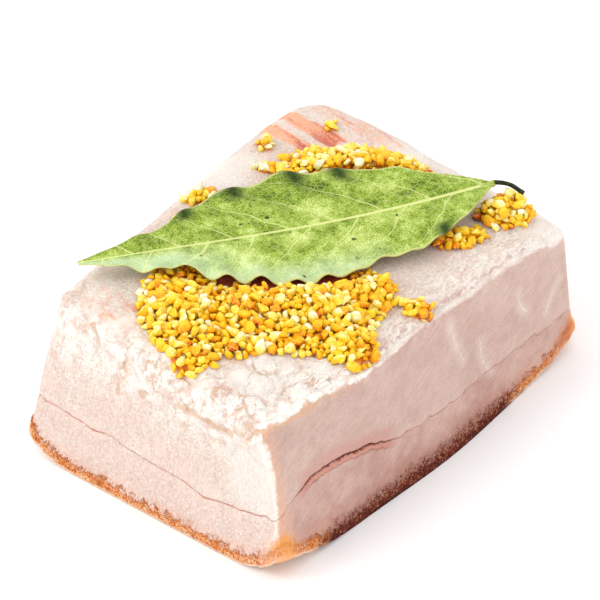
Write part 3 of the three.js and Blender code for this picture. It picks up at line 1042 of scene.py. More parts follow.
@dataclass(frozen=True)
class CornerShape:
    """One upright corner of the slab: where it stands at the rind and at the top, how far the
    rind curls up there, the height, the radii, and the rounding of the top edges."""

    base_x: float
    base_y: float
    lift: float
    base_radius: float
    top_x: float
    top_y: float
    height: float
    top_radius: float
    shoulder: float


@dataclass(frozen=True)
class Crumb:
    """A rounded lump of fat left on the top by the knife, with its middle, radius and height."""

    x: float
    y: float
    radius: float
    height: float


CRUMBS = (
    Crumb(-26.4, -13.8, 2.4, 0.8),
    Crumb(-24.0, -17.3, 2.6, 0.9),
    Crumb(-21.2, -19.6, 2.4, 0.8),
    Crumb(-20.2, -23.0, 2.4, 0.6),
    Crumb(-33.0, -15.6, 3.8, 0.6),
    Crumb(-31.0, -20.0, 3.2, 0.6),
    Crumb(-37.2, 3.4, 3.0, 0.6),
    Crumb(-36.0, -1.0, 2.4, 0.5),
    Crumb(-35.6, -7.6, 2.6, 0.6),
    Crumb(-38.0, -10.6, 2.6, 0.6),
)
# Clefts of the left end, along Y and Z, and pale streaks of the front face, along X and Z
CLEFTS: Curves = (
    ((14.5, 31.2), (13.2, 28.7), (11.6, 26.7)),
    ((6.2, 28.5), (6.8, 26.3), (7.4, 21.4)),
    ((2.1, 23.1), (-1.1, 24.9), (-4.9, 25.7)),
    ((-8.8, 25.1), (-13.5, 24.6), (-19.3, 25.4)),
    ((-4.1, 28.6), (-5.6, 30.3), (-7.7, 32.1)),
)
STREAKS: Curves = (
    ((8.9, 24.6), (9.0, 20.0), (11.3, 15.2)),
    ((16.3, 16.4), (15.6, 12.5), (17.8, 9.1)),
    ((27.5, 20.5), (27.0, 17.6), (29.7, 15.4)),
    ((34.9, 12.5), (36.0, 15.4), (38.9, 17.4)),
)


@dataclass(frozen=True)
class MeatBand:
    """A band of meat on the top: its middle and half width along X, where it starts and ends along
    Y, and how strong it is."""

    middle: float
    half: float
    start: float
    end: float
    strength: float


MEAT_BANDS = (
    MeatBand(21.4, 1.6, 22.5, 27.0, 0.8),
    MeatBand(26.2, 2.2, 15.0, 30.0, 1.0),
    MeatBand(31.6, 2.4, 15.0, 32.0, 1.0),
    MeatBand(38.4, 2.6, 6.0, 26.0, 0.45),
    MeatBand(-33.0, 4.0, 8.0, 20.0, 0.42),
)


@dataclass
class FatSlab:
    """The slab of back fat. Shares u and v run from -1 to 1 over its plan, along it and across it, and
    the swells have a size, a middle and a reach along the slab."""

    # The corners and the plan
    left_front: CornerShape = CornerShape(-43.4, -32.2, 7.2, 3.0, -40.0, -25.4, 30.0, 2.5, 3.2)
    left_back: CornerShape = CornerShape(-43.4, 27.2, 6.2, 3.0, -37.2, 23.2, 33.2, 3.0, 1.5)
    right_front: CornerShape = CornerShape(43.9, -32.6, 5.2, 3.0, 43.0, -29.6, 26.8, 3.0, 2.6)
    right_back: CornerShape = CornerShape(43.6, 32.0, 6.5, 6.0, 42.2, 28.7, 31.6, 9.0, 2.6)
    half_length: float = 43.65
    half_width: float = 32.3
    base_rounding: float = 0.4
    # The rind and the curl of its corners
    curl_along: float = 5.0
    curl_across: float = 7.0
    curl_start: float = 0.2
    rind: float = 2.2
    rind_overhang: float = 0.35
    rind_step: float = 0.9
    undercut: float = 0.2
    # The upper sides, and the top's edges and crown
    upper_rows: tuple[float, float] = (0.36, 0.72)
    shoulder_drop: float = 0.3
    shoulder_in: float = 0.6
    shoulder_reach: float = 1.5
    front_crispness: float = 0.62
    top_crown: float = 0.8
    # The swells of the long faces
    flare: float = 1.6
    flare_at: float = 0.08
    flare_reach: float = 0.45
    front_swell: Triple = (-2.0, -0.36, 0.3)
    back_swell: Triple = (1.4, 0.3, 0.5)
    # The membrane seam and the split in the front face
    seam_height: float = 10.6
    seam_slope: float = 1.6
    seam_rise: float = 6.2
    seam_rise_at: float = -0.66
    seam_rise_reach: float = 0.38
    seam_rise_depth: float = 0.3
    seam_lip: float = 0.9
    seam_depth: float = 0.34
    split_depth: float = 0.7
    split_at: float = -0.54
    split_reach: float = 0.34
    slit: float = 5.0
    lip_swell: float = 0.3
    lip_below: float = 0.8
    lip_reach: float = 0.6
    jagged: float = 0.4
    jagged_reach: float = 2.2
    # The uneven cut and the crumbled rim
    relief: float = 0.4
    relief_spacing: float = 7.0
    relief_shifts: Triple = (11.0, 31.0, 53.0)
    crag: float = 1.0
    crag_spacing: float = 4.2
    # The grid of the mesh
    cells: tuple[int, int] = (176, 130)
    rows: tuple[int, ...] = (9, 3, 9, 6, 6, 12, 12, 9, 6)
    rim_crowding: float = 1.2
    corner_from: float = 0.97
    corner_easing: int = 6
    # What marks the faces and lies on the top
    meat_bands: tuple[MeatBand, ...] = MEAT_BANDS
    crumbs: tuple[Crumb, ...] = CRUMBS
    streaks: Curves = STREAKS
    clefts: Curves = CLEFTS
    cleft_width: float = 0.85
    cleft_depth: float = 0.3
    curve_limit: float = 20.0
    # Places under the leaf's front margin, round which the top gets painted shadow
    leaf_margin: Array = field(default_factory=lambda: np.zeros((0, 3)))
    heaps: tuple[Heap, ...] = HEAPS
    finish: FatFinish = field(default_factory=FatFinish)

    def between(self, figure: str, u: Array, v: Array) -> Array:
        """A corner figure, shared out between the four corners.

        Args:
            figure: name of one of the corners' sizes.
            u: shares along the slab.
            v: shares across it.

        Returns:
            The figure at each place.
        """
        along = (u + 1.0) / 2.0
        front = lerp(getattr(self.left_front, figure), getattr(self.right_front, figure), along)
        back = lerp(getattr(self.left_back, figure), getattr(self.right_back, figure), along)
        return lerp(front, back, (v + 1.0) / 2.0)

    def rounded_plan(self, u: Array, v: Array, rise: Any) -> tuple[Array, Array]:
        """Shares of the plan with each corner turned to a quarter circle of its radius.

        Args:
            u: shares along the slab.
            v: shares across it.
            rise: shares of the height, as the radius changes with it.

        Returns:
            The new shares along and across.
        """
        sign_u, sign_v = np.sign(u), np.sign(v)
        base = self.between("base_radius", sign_u, sign_v)
        top = self.between("top_radius", sign_u, sign_v)
        radius = lerp(base, top, smoothstep(rise, 0.0, self.base_rounding))
        a = np.maximum(0.0, 1.0 - (1.0 - np.abs(u)) * self.half_length / radius)
        b = np.maximum(0.0, 1.0 - (1.0 - np.abs(v)) * self.half_width / radius)
        in_u = a * (1.0 - np.sqrt(1.0 - b * b / 2.0)) * radius / self.half_length
        in_v = b * (1.0 - np.sqrt(1.0 - a * a / 2.0)) * radius / self.half_width
        return u - sign_u * in_u, v - sign_v * in_v

    def rind_lift(self, u: Array, v: Array) -> Array:
        """Height to which the rind has curled up off the surface that it lies on.

        Args:
            u: shares along the slab.
            v: shares across it.

        Returns:
            Heights.
        """
        plan_u, plan_v = self.rounded_plan(u, v, 0.0)
        corner = self.between("lift", np.sign(u), np.sign(v))
        curl = corner * np.abs(plan_u) ** self.curl_along * np.abs(plan_v) ** self.curl_across
        return np.maximum(0.0, curl - self.curl_start)

    def top_height(self, u: Array, v: Array) -> Array:
        """Height of the top, without its shoulders."""
        return self.between("height", u, v) + self.top_crown * (1.0 - u * u) * (1.0 - v * v)

    def shoulder(self, u: Array, v: Array) -> Array:
        """Rounding of the top's edges, as a height."""
        return self.between("shoulder", u, v)

    def seam_at(self, u: Array, v: Array) -> Array:
        """Height of the membrane seam, which rises near the front left corner.

        Args:
            u: shares along the slab.
            v: shares across it.

        Returns:
            Heights.
        """
        along = (u - self.seam_rise_at) / self.seam_rise_reach
        inward = (v + 1.0) / self.seam_rise_depth
        height = self.seam_height + self.seam_slope * v + self.seam_rise * bump(along) * bump(inward)
        lowest = self.rind_lift(u, v) + self.rind + self.rind_step + 2.0 * self.seam_lip
        return np.maximum(height, lowest)

    def split_share(self, u: Array, v: Array) -> Array:
        """How far the seam gapes: 1 where the front face has split open most."""
        gaping = np.maximum(0.0, 1.0 - ((u - self.split_at) / self.split_reach) ** 2)
        return np.where(v <= -1.0, gaping, 0.0)

    def face_swell(self, u: Array, v: Array, rise: Array) -> Array:
        """Swell of the front or the back face along Y, greatest at the top.

        Args:
            u: shares along the slab.
            v: shares across it.
            rise: shares of the height.

        Returns:
            How far each place moves along Y.
        """
        sizes = (self.front_swell, self.back_swell)
        front, back = (size * bump((u - middle) / reach) for size, middle, reach in sizes)
        return rise * np.abs(v) * np.where(v < 0.0, front, back)

    def levels(self, u: Array, v: Array) -> tuple[Array, Array]:
        """The levels from the rind's underside to the rim of the top.

        Args:
            u: shares along the slab.
            v: shares across it.

        Returns:
            Each level's height, and how far in from the rind it lies.
        """
        lift = self.rind_lift(u, v)
        seam = self.seam_at(u, v)
        edge = self.top_height(u, v) - self.shoulder(u, v)
        lip = seam + self.seam_lip
        rim = edge + self.shoulder(u, v) * (1.0 - self.shoulder_drop)
        first, second = (lerp(lip, edge, share) for share in self.upper_rows)
        rind_top = lift + self.rind
        set_back = rind_top + self.rind_step
        heights = (lift, rind_top, set_back, seam - self.seam_lip, seam, lip, first, second, edge, rim)
        over = self.rind_overhang
        groove = over + lerp(self.seam_depth, self.split_depth, self.split_share(u, v))
        insets = (self.undercut, 0.0, over, over, groove, over, over / 3.0, 0.0, 0.0, 0.0)
        return np.stack(heights), np.stack([np.broadcast_to(inset, u.shape) for inset in insets])

    def smooth_points(self, u: Array, v: Array, level: Array) -> Array:
        """Points of the slab before its relief.

        Args:
            u: shares along the slab.
            v: shares across it.
            level: numbers of the levels, with fractions between them.

        Returns:
            The points, a row each.
        """
        heights, insets = self.levels(u, v)
        lower = np.minimum(np.floor(level).astype(int), Level.EDGE)
        part = level - lower
        column = np.arange(len(u))
        into_seam = lower == Level.LOWER_LIP
        in_seam = into_seam | (lower == Level.SEAM)
        sharp = np.where(into_seam, part**self.slit, 1.0 - (1.0 - part) ** self.slit)
        ease = np.where(in_seam, sharp, smoothstep(part, 0.0, 1.0))
        inset = lerp(insets[lower, column], insets[lower + 1, column], ease)
        over_edge = lower == Level.EDGE
        crisp = self.edge_crispness(u, v)
        rounding = np.where(over_edge, np.sin(part * math.pi / 2.0) ** crisp, part)
        z = lerp(heights[lower, column], heights[lower + 1, column], rounding)
        on_rim = (np.abs(u) >= 1.0) | (np.abs(v) >= 1.0)
        on_top = (level >= Level.RIM) & ~on_rim
        low, high = heights[0], self.top_height(u, v)
        from_rim = np.minimum((1.0 - np.abs(u)) * self.half_length, (1.0 - np.abs(v)) * self.half_width)
        dip = self.shoulder(u, v) * self.shoulder_drop
        dip = dip * np.maximum(0.0, 1.0 - from_rim / self.shoulder_reach) ** 2
        z = np.where(on_top, high - dip, z)
        rise = np.clip((z - low) / (high - low), 0.0, 1.0)
        plan_u, plan_v = self.rounded_plan(u, v, rise)
        x = lerp(self.between("base_x", plan_u, plan_v), self.between("top_x", plan_u, plan_v), rise)
        y = lerp(self.between("base_y", plan_u, plan_v), self.between("top_y", plan_u, plan_v), rise)
        y = y + self.face_swell(u, v, rise)
        flare = bump((u - self.flare_at) / self.flare_reach) * smoothstep(-v, 0.6, 1.0)
        y = y - self.flare * flare * (1.0 - rise) ** 3
        turned_in = np.where(over_edge, 1.0 - np.abs(np.cos(part * math.pi / 2.0)) ** crisp, 0.0)
        edge = self.shoulder(u, v) * self.shoulder_in * turned_in
        x = x * (1.0 - edge / self.half_length)
        y = y * (1.0 - edge / self.half_width)
        z = z + np.where(level >= Level.RIM, self.bed_height(x, y), 0.0)
        out_u, out_v = np.trunc(u), np.trunc(v)
        reach = np.maximum(np.hypot(out_u, out_v), 1.0)
        x = x - inset * np.where(on_rim, out_u / reach, 0.0)
        y = y - inset * np.where(on_rim, out_v / reach, 0.0)
        return np.stack([x, y, z], axis=1)

    def edge_crispness(self, u: Array, v: Array) -> Array:
        """Power that squares the top's front edge: 1 is round, and less is more crisp."""
        return lerp(1.0, self.front_crispness, smoothstep(-v, 0.8, 1.0) * smoothstep(-u, -0.5, 0.2))

    def bed_height(self, x: Array, y: Array) -> Array:
        """Height of the granules' bed at places on the top.

        Args:
            x: places along X.
            y: places along Y.

        Returns:
            Heights.
        """
        height = np.zeros_like(x)
        for heap in self.heaps:
            height = np.maximum(height, heap.bed * np.maximum(0.0, 1.0 - heap.distance(x, y) ** 2))
        return height

    def relief_points(self, u: Array, level: Array, points: Array, top: Array) -> Array:
        """The points with the uneven cut, and the crumbled rim of the left end.

        Args:
            u: shares along the slab.
            level: numbers of the levels.
            points: smooth points, a row each.
            top: height of the top at each point.

        Returns:
            The moved points.
        """
        share = points[:, 2] / top
        rough = self.relief * smoothstep(points[:, 2], 0.0, 2.0 * self.rind)
        crumbled = self.crag * smoothstep(-u, 0.62, 1.0) * smoothstep(share, 0.7, 1.0)
        moved = points.copy()
        for axis, shift in enumerate(self.relief_shifts):
            uneven = rough * lumps_at(points, self.relief_spacing, shift)
            uneven = uneven + crumbled * lumps_at(points, self.crag_spacing, shift)
            held = level <= Level.RIND_TOP if axis == 2 else np.zeros(len(points), bool)
            moved[:, axis] += np.where(held, 0.0, uneven)
        return moved

    def crumble_share(self, u: Array, v: Array, points: Array, share: Array) -> Array:
        """How far the cut surface has crumbled: the left end's upper part and the front corner.

        Args:
            u: shares along the slab.
            v: shares across it.
            points: places in millimetres, a row each.
            share: shares of the height.

        Returns:
            0 where the cut is smooth, as on the front face, to 1 where it is all crumbs.
        """
        left = smoothstep(-u, 0.66, 0.97) * smoothstep(share, 0.5, 0.92)
        left = left * (1.0 - 0.5 * smoothstep(share, 0.95, 1.0) * smoothstep(points[:, 1], -4.0, 4.0))
        corner = smoothstep(-points[:, 0], 12.0, 26.0) * smoothstep(-points[:, 1], 9.0, 15.0)
        crumble = np.maximum(left, corner * smoothstep(share, 0.86, 0.97))
        return crumble * np.where(v <= -0.995, smoothstep(share, 0.93, 0.985), 1.0)

    def fine_relief(self, points: Array, crumble: Array, up: Array, flaky: Array) -> Array:
        """Crags, flakes and crumbs that stand out of the surface.

        Args:
            points: places in millimetres, a row each.
            crumble: how far the surface has crumbled there.
            up: height above the rind's underside.
            flaky: how flaky the surface is there.

        Returns:
            How far each point stands out.
        """
        folds = 0.9 * ridges_at(points, (5.5, 5.5, 3.2), 3.0) + 0.5 * ridges_at(points, (2.6, 2.6, 1.6), 9.0)
        blobs = pebbles_at(points, 3.4)
        out = crumble * (0.42 * (folds - 0.9) + 0.4 * (blobs - 0.4))
        flakes = ridges_at(points, (7.0, 1.7, 2.4), 21.0) ** 2
        out = out + flaky * 0.5 * (flakes - 0.45)
        in_rind = smoothstep(-up, -2.6, -1.4)
        gritty = 0.22 * lumps_at(points, 1.3) + 0.25 * (pebbles_at(points, 1.7) - 0.4)
        out = out + in_rind * gritty * smoothstep(points[:, 2], 0.2, 1.2)
        return out + 0.06 * lumps_at(points, 1.9, 41.0) * (1.0 - in_rind)

    def flaky_share(self, points: Array) -> Array:
        """How flaky the top is: most along its front edge.

        Args:
            points: places in millimetres, a row each.

        Returns:
            0 where it is smooth to 1 where it is most flaky.
        """
        x, y = points[:, 0], points[:, 1]
        front = smoothstep(-y, 18.0, 23.0) * smoothstep(-x, -46.0, -30.0) * smoothstep(x, -38.0, -30.0)
        return np.clip(front * (0.6 + 0.6 * lumps_at(points, 8.0, 71.0)), 0.0, 1.0)

    def curve_distance(self, curves: Curves, flat: Array) -> Array:
        """Distance from curves that are drawn on a face.

        Args:
            curves: three knots for each curve, in the face's two coordinates.
            flat: places in the face's two coordinates, a row each.

        Returns:
            Distances, no more than the limit.
        """
        share = np.linspace(0.0, 1.0, 25)[:, None]
        nearest = np.full(len(flat), self.curve_limit)
        for knots in curves:
            start, middle, end = (np.array(knot) for knot in knots)
            curve = lerp(lerp(start, middle, share), lerp(middle, end, share), share)
            for spot in curve:
                nearest = np.minimum(nearest, np.hypot(*(flat - spot).T))
        return nearest

    def cleft_share(self, points: Array) -> Array:
        """How far a place on the left end is in one of its clefts."""
        apart = self.curve_distance(self.clefts, points[:, 1:]) + 0.7 * lumps_at(points, 1.7, 83.0)
        return smoothstep(-apart, -self.cleft_width, 0.0) * smoothstep(-points[:, 0], 35.5, 36.5)

    def crumb_height(self, points: Array) -> tuple[Array, Array]:
        """Height of the lumps left on the top, and how white each place is for them.

        Args:
            points: places in millimetres, a row each.

        Returns:
            Heights, and shares of white.
        """
        height = np.zeros(len(points))
        white = np.zeros(len(points))
        for crumb in self.crumbs:
            apart = np.hypot(points[:, 0] - crumb.x, points[:, 1] - crumb.y) / crumb.radius
            apart = apart * (1.0 + 0.4 * lumps_at(points, 2.2, crumb.x))
            dome = np.maximum(0.0, 1.0 - apart**2) ** 0.8
            height = np.maximum(height, crumb.height * dome)
            white = np.maximum(white, smoothstep(dome, 0.05, 0.6))
        return height, white

    def places(self, mesh: bpy.types.Mesh) -> tuple[Array, Array, Array]:
        """Where each vertex of a gridded box belongs on the slab, crowded towards the rims.

        Args:
            mesh: the box, from -1 to 1 along each axis.

        Returns:
            Shares along the slab and across it, and numbers of the levels.
        """
        u, v, w = points_of(mesh).T
        u, v = (np.sign(n) * (1.0 - (1.0 - np.minimum(np.abs(n), 1.0)) ** self.rim_crowding) for n in (u, v))
        row = np.round((w + 1.0) / 2.0 * sum(self.rows))
        starts = np.concatenate([[0], np.cumsum(self.rows)])
        return u, v, np.interp(row, starts, list(Level))

    def build(self) -> bpy.types.Object:
        """Makes the slab and dresses it.

        Returns:
            The finished piece.
        """
        piece = piece_of("pork_back_fat", gridded_box((*self.cells, sum(self.rows))))
        mesh = piece.data
        u, v, level = self.places(mesh)
        top = self.top_height(u, v)
        smooth = self.smooth_points(u, v, level)
        on_top = (level >= Level.RIM).astype(float)
        seam_gap = np.where(on_top > 0.0, FAR, smooth[:, 2] - self.seam_at(u, v))
        up = np.where(on_top > 0.0, FAR, smooth[:, 2] - self.rind_lift(u, v))
        wander = lumps_at(smooth, (2.8, 2.8, 60.0), 3.0) + 0.8 * lumps_at(smooth, (1.2, 1.2, 60.0), 8.0)
        smooth[:, 2] += self.jagged * wander * bump(seam_gap / self.jagged_reach)
        points = self.relief_points(u, level, smooth, top)
        share = smooth[:, 2] / top
        crumble = self.crumble_share(u, v, points, share)
        brim = np.where(on_top > 0.0, 1.0 + 0.5 * (1.0 + v) * self.half_width, level - Level.EDGE)
        split = self.split_share(u, np.where(v < -0.99, -1.0, v))
        flaky = self.flaky_share(points) * smoothstep(brim, 0.5, 0.9)
        set_points(mesh, points)
        cleft = self.cleft_share(points)
        out = self.fine_relief(points, crumble, up, flaky)
        out = out + self.lip_swell * split * bump((seam_gap + self.lip_below) / self.lip_reach)
        out = out - self.cleft_depth * cleft
        points = points + normals_of(mesh) * out[:, None]
        lump, white = self.crumb_height(points)
        raised = on_top * smoothstep(share, 0.9, 0.97)
        points[:, 2] += lump * raised
        points[:, 2] = np.maximum(points[:, 2], 0.0)
        set_points(mesh, points)
        self.ease_corners(mesh, (np.abs(u) > self.corner_from) & (np.abs(v) > self.corner_from))
        points = points_of(mesh) / MM
        self.store_figures(mesh, u, v, points, up)
        # White of the crumbs, with painted highlight down the left end's front edge
        pale = np.maximum(white * raised * 0.6, self.painted_edge_highlight(u, v, points, share))
        pale = np.maximum(pale, smoothstep(share, 0.86, 0.95) * self.whitened_top(points))
        brim = np.clip(brim, -3.0, 9.0)
        set_figures(mesh, up=up, above_seam=seam_gap, split=split, flaky=flaky, brim=brim)
        set_figures(mesh, crumble=crumble, cleft=cleft, white=pale)
        mesh.materials.append(self.finish.build())
        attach(piece, BODY)
        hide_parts(Solid.SLAB.value)
        return piece

    def ease_corners(self, mesh: bpy.types.Mesh, corner: Array) -> None:
        """Smooths the slab's upright edges sideways.

        Args:
            mesh: the slab's mesh.
            corner: which vertices are at an upright edge.
        """
        shape = bmesh.new()
        shape.from_mesh(mesh)
        eased = [vert for vert, near in zip(shape.verts, corner) if near]
        for _ in range(self.corner_easing):
            bmesh.ops.smooth_vert(shape, verts=eased, factor=0.5, use_axis_x=True, use_axis_y=True)
        shape.to_mesh(mesh)
        shape.free()
        mesh.shade_smooth()

    def painted_edge_highlight(self, u: Array, v: Array, points: Array, share: Array) -> Array:
        """The ragged white strip of painted highlight down the left end beside the upright front edge, and
        just past it, with a softer painted highlight across the left end near that edge.

        Args:
            u: shares along the slab.
            v: shares across it.
            points: places in millimetres, a row each.
            share: shares of the height.

        Returns:
            How white each place is.
        """
        round_edge = np.where(v <= -1.0, 1.6 * (1.0 + u) * self.half_length, 0.0)
        aside = (1.0 + v) * self.half_width + round_edge + 0.6 * lumps_at(points, 2.6, 17.0)
        aside = aside + 0.4 * lumps_at(points, 1.0, 5.0)
        wide = 0.9 + 1.1 * bump((share - 0.8) / 0.1) + 2.6 * smoothstep(-share, -0.34, -0.16)
        strip = 0.9 * smoothstep(wide - aside, -0.7, 0.7)
        rounded = 0.75 * smoothstep(-aside, -3.6, 0.0)
        soft = 0.6 * smoothstep(-aside, -19.0, -6.0) * smoothstep(share, 0.28, 0.45)
        ends = smoothstep(-share, -0.92, -0.84) * smoothstep(share, 0.12, 0.24)
        return np.where(u <= -1.0, np.maximum(strip, soft), rounded * (v <= -1.0)) * ends

    def whitened_top(self, points: Array) -> Array:
        """How much whiter the top is made: past the leaf's back margin and along the right end.

        Args:
            points: places in millimetres, a row each.

        Returns:
            How white each place is.
        """
        x, y = points[:, 0], points[:, 1]
        back = bump((x - 8.0) / 12.0) * smoothstep(y, 16.0, 22.0)
        right = smoothstep(x, 30.0, 39.0) * smoothstep(-y, -14.0, -4.0)
        return np.clip((0.75 + 0.3 * lumps_at(points, 4.0, 61.0)) * np.maximum(back, right), 0.0, 1.0)

    def store_figures(self, mesh: bpy.types.Mesh, u: Array, v: Array, points: Array, up: Array) -> None:
        """Stores what the finish needs to know of each vertex's place.

        Args:
            mesh: the slab's mesh.
            u: shares along the slab.
            v: shares across it.
            points: places in millimetres, a row each.
            up: heights above the rind's underside.
        """
        x, y, z = points.T
        # The long faces, front and back, which get colour with painted shade and slanting fibres
        front = smoothstep(np.abs(normals_of(mesh)[:, 1]), 0.5, 0.68)
        peach = smoothstep(-x, 36.0, 41.0) * smoothstep(-y, 20.0, 25.0)
        streak = self.curve_distance(self.streaks, points[:, [0, 2]])
        streak = np.where(y < -22.0, streak, self.curve_limit)
        left_foot = bump((x + 40.6) / 3.0) * smoothstep(-y, 26.5, 28.5) * smoothstep(-up, -6.0, -1.5)
        # The right foot, whose darker orange is partly painted shade
        shaded_right_foot = smoothstep(x, 31.0, 43.2) * smoothstep(-y, 14.0, 30.0) * smoothstep(-up, -7.0, -2.0)
        foot = np.maximum(left_foot, shaded_right_foot)
        set_figures(mesh, front=front, peach=peach, streak=streak, foot=foot)
        raw = bump((x - 27.0) / 6.0) * bump((y - 16.5) / 4.0)
        nearest = np.min([heap.distance(x, y) for heap in self.heaps], axis=0)
        # Painted shadow round the places under the leaf's front margin, which also widens the golden staining
        # there
        dusk = np.zeros(len(x))
        for spot in self.leaf_margin:
            dusk = np.maximum(dusk, smoothstep(-np.hypot(x - spot[0], y - spot[1]), -4.0, -2.0))
        dust = np.maximum(smoothstep(-nearest, -0.96, -0.74), dusk) * smoothstep(z, 27.0, 28.5)
        set_figures(mesh, meat=self.meat_share(points), raw=raw, dusk=dusk, dust=dust)
        charred = smoothstep(0.85 - np.abs(u + 0.02), 0.0, 0.35) * smoothstep(-v, 0.9, 1.0)
        charred = charred * (1.0 - 0.55 * smoothstep(u, 0.3, 0.6))
        patchy = 0.06 + 0.25 * lumps_at(points, 9.0, 5.0)
        set_figures(mesh, char=np.clip(np.maximum(charred, patchy), 0.0, 1.0))

    def meat_share(self, points: Array) -> Array:
        """How far each place lies in a band of meat, which fades down the back face.

        Args:
            points: places in millimetres, a row each.

        Returns:
            0 in the fat to 1 in the strongest meat.
        """
        x, y, z = points.T
        meat = np.zeros(len(x))
        wobble = x + 0.7 * lumps_at(points, 3.5, 29.0)
        for band in self.meat_bands:
            inside = smoothstep(band.half - np.abs(wobble - band.middle), 0.0, 1.0)
            inside = inside * smoothstep(y, band.start - 2.0, band.start + 1.0)
            inside = inside * smoothstep(-y, -band.end - 1.0, -band.end + 2.0)
            meat = np.maximum(meat, band.strength * inside)
        return meat * smoothstep(z + 3.0 * lumps_at(points, 1.6, 13.0), 19.0, 31.0)


@dataclass(frozen=True)
class Lobe:
    """A stretch of one of the leaf's margins that stands out or in, and up. The side is 1 at the
    back and -1 at the front."""

    at: float
    side: float
    reach: float
    out: float
    up: float


LOBES = (
    Lobe(0.2, 1.0, 0.09, -1.5, 0.0),
    Lobe(0.21, -1.0, 0.03, -1.2, 1.4),
    Lobe(0.38, 1.0, 0.03, 1.2, 0.0),
    Lobe(0.45, -1.0, 0.04, 1.2, 0.0),
    Lobe(0.535, 1.0, 0.035, 1.6, 0.0),
    Lobe(0.66, -1.0, 0.055, -1.8, 0.0),
)


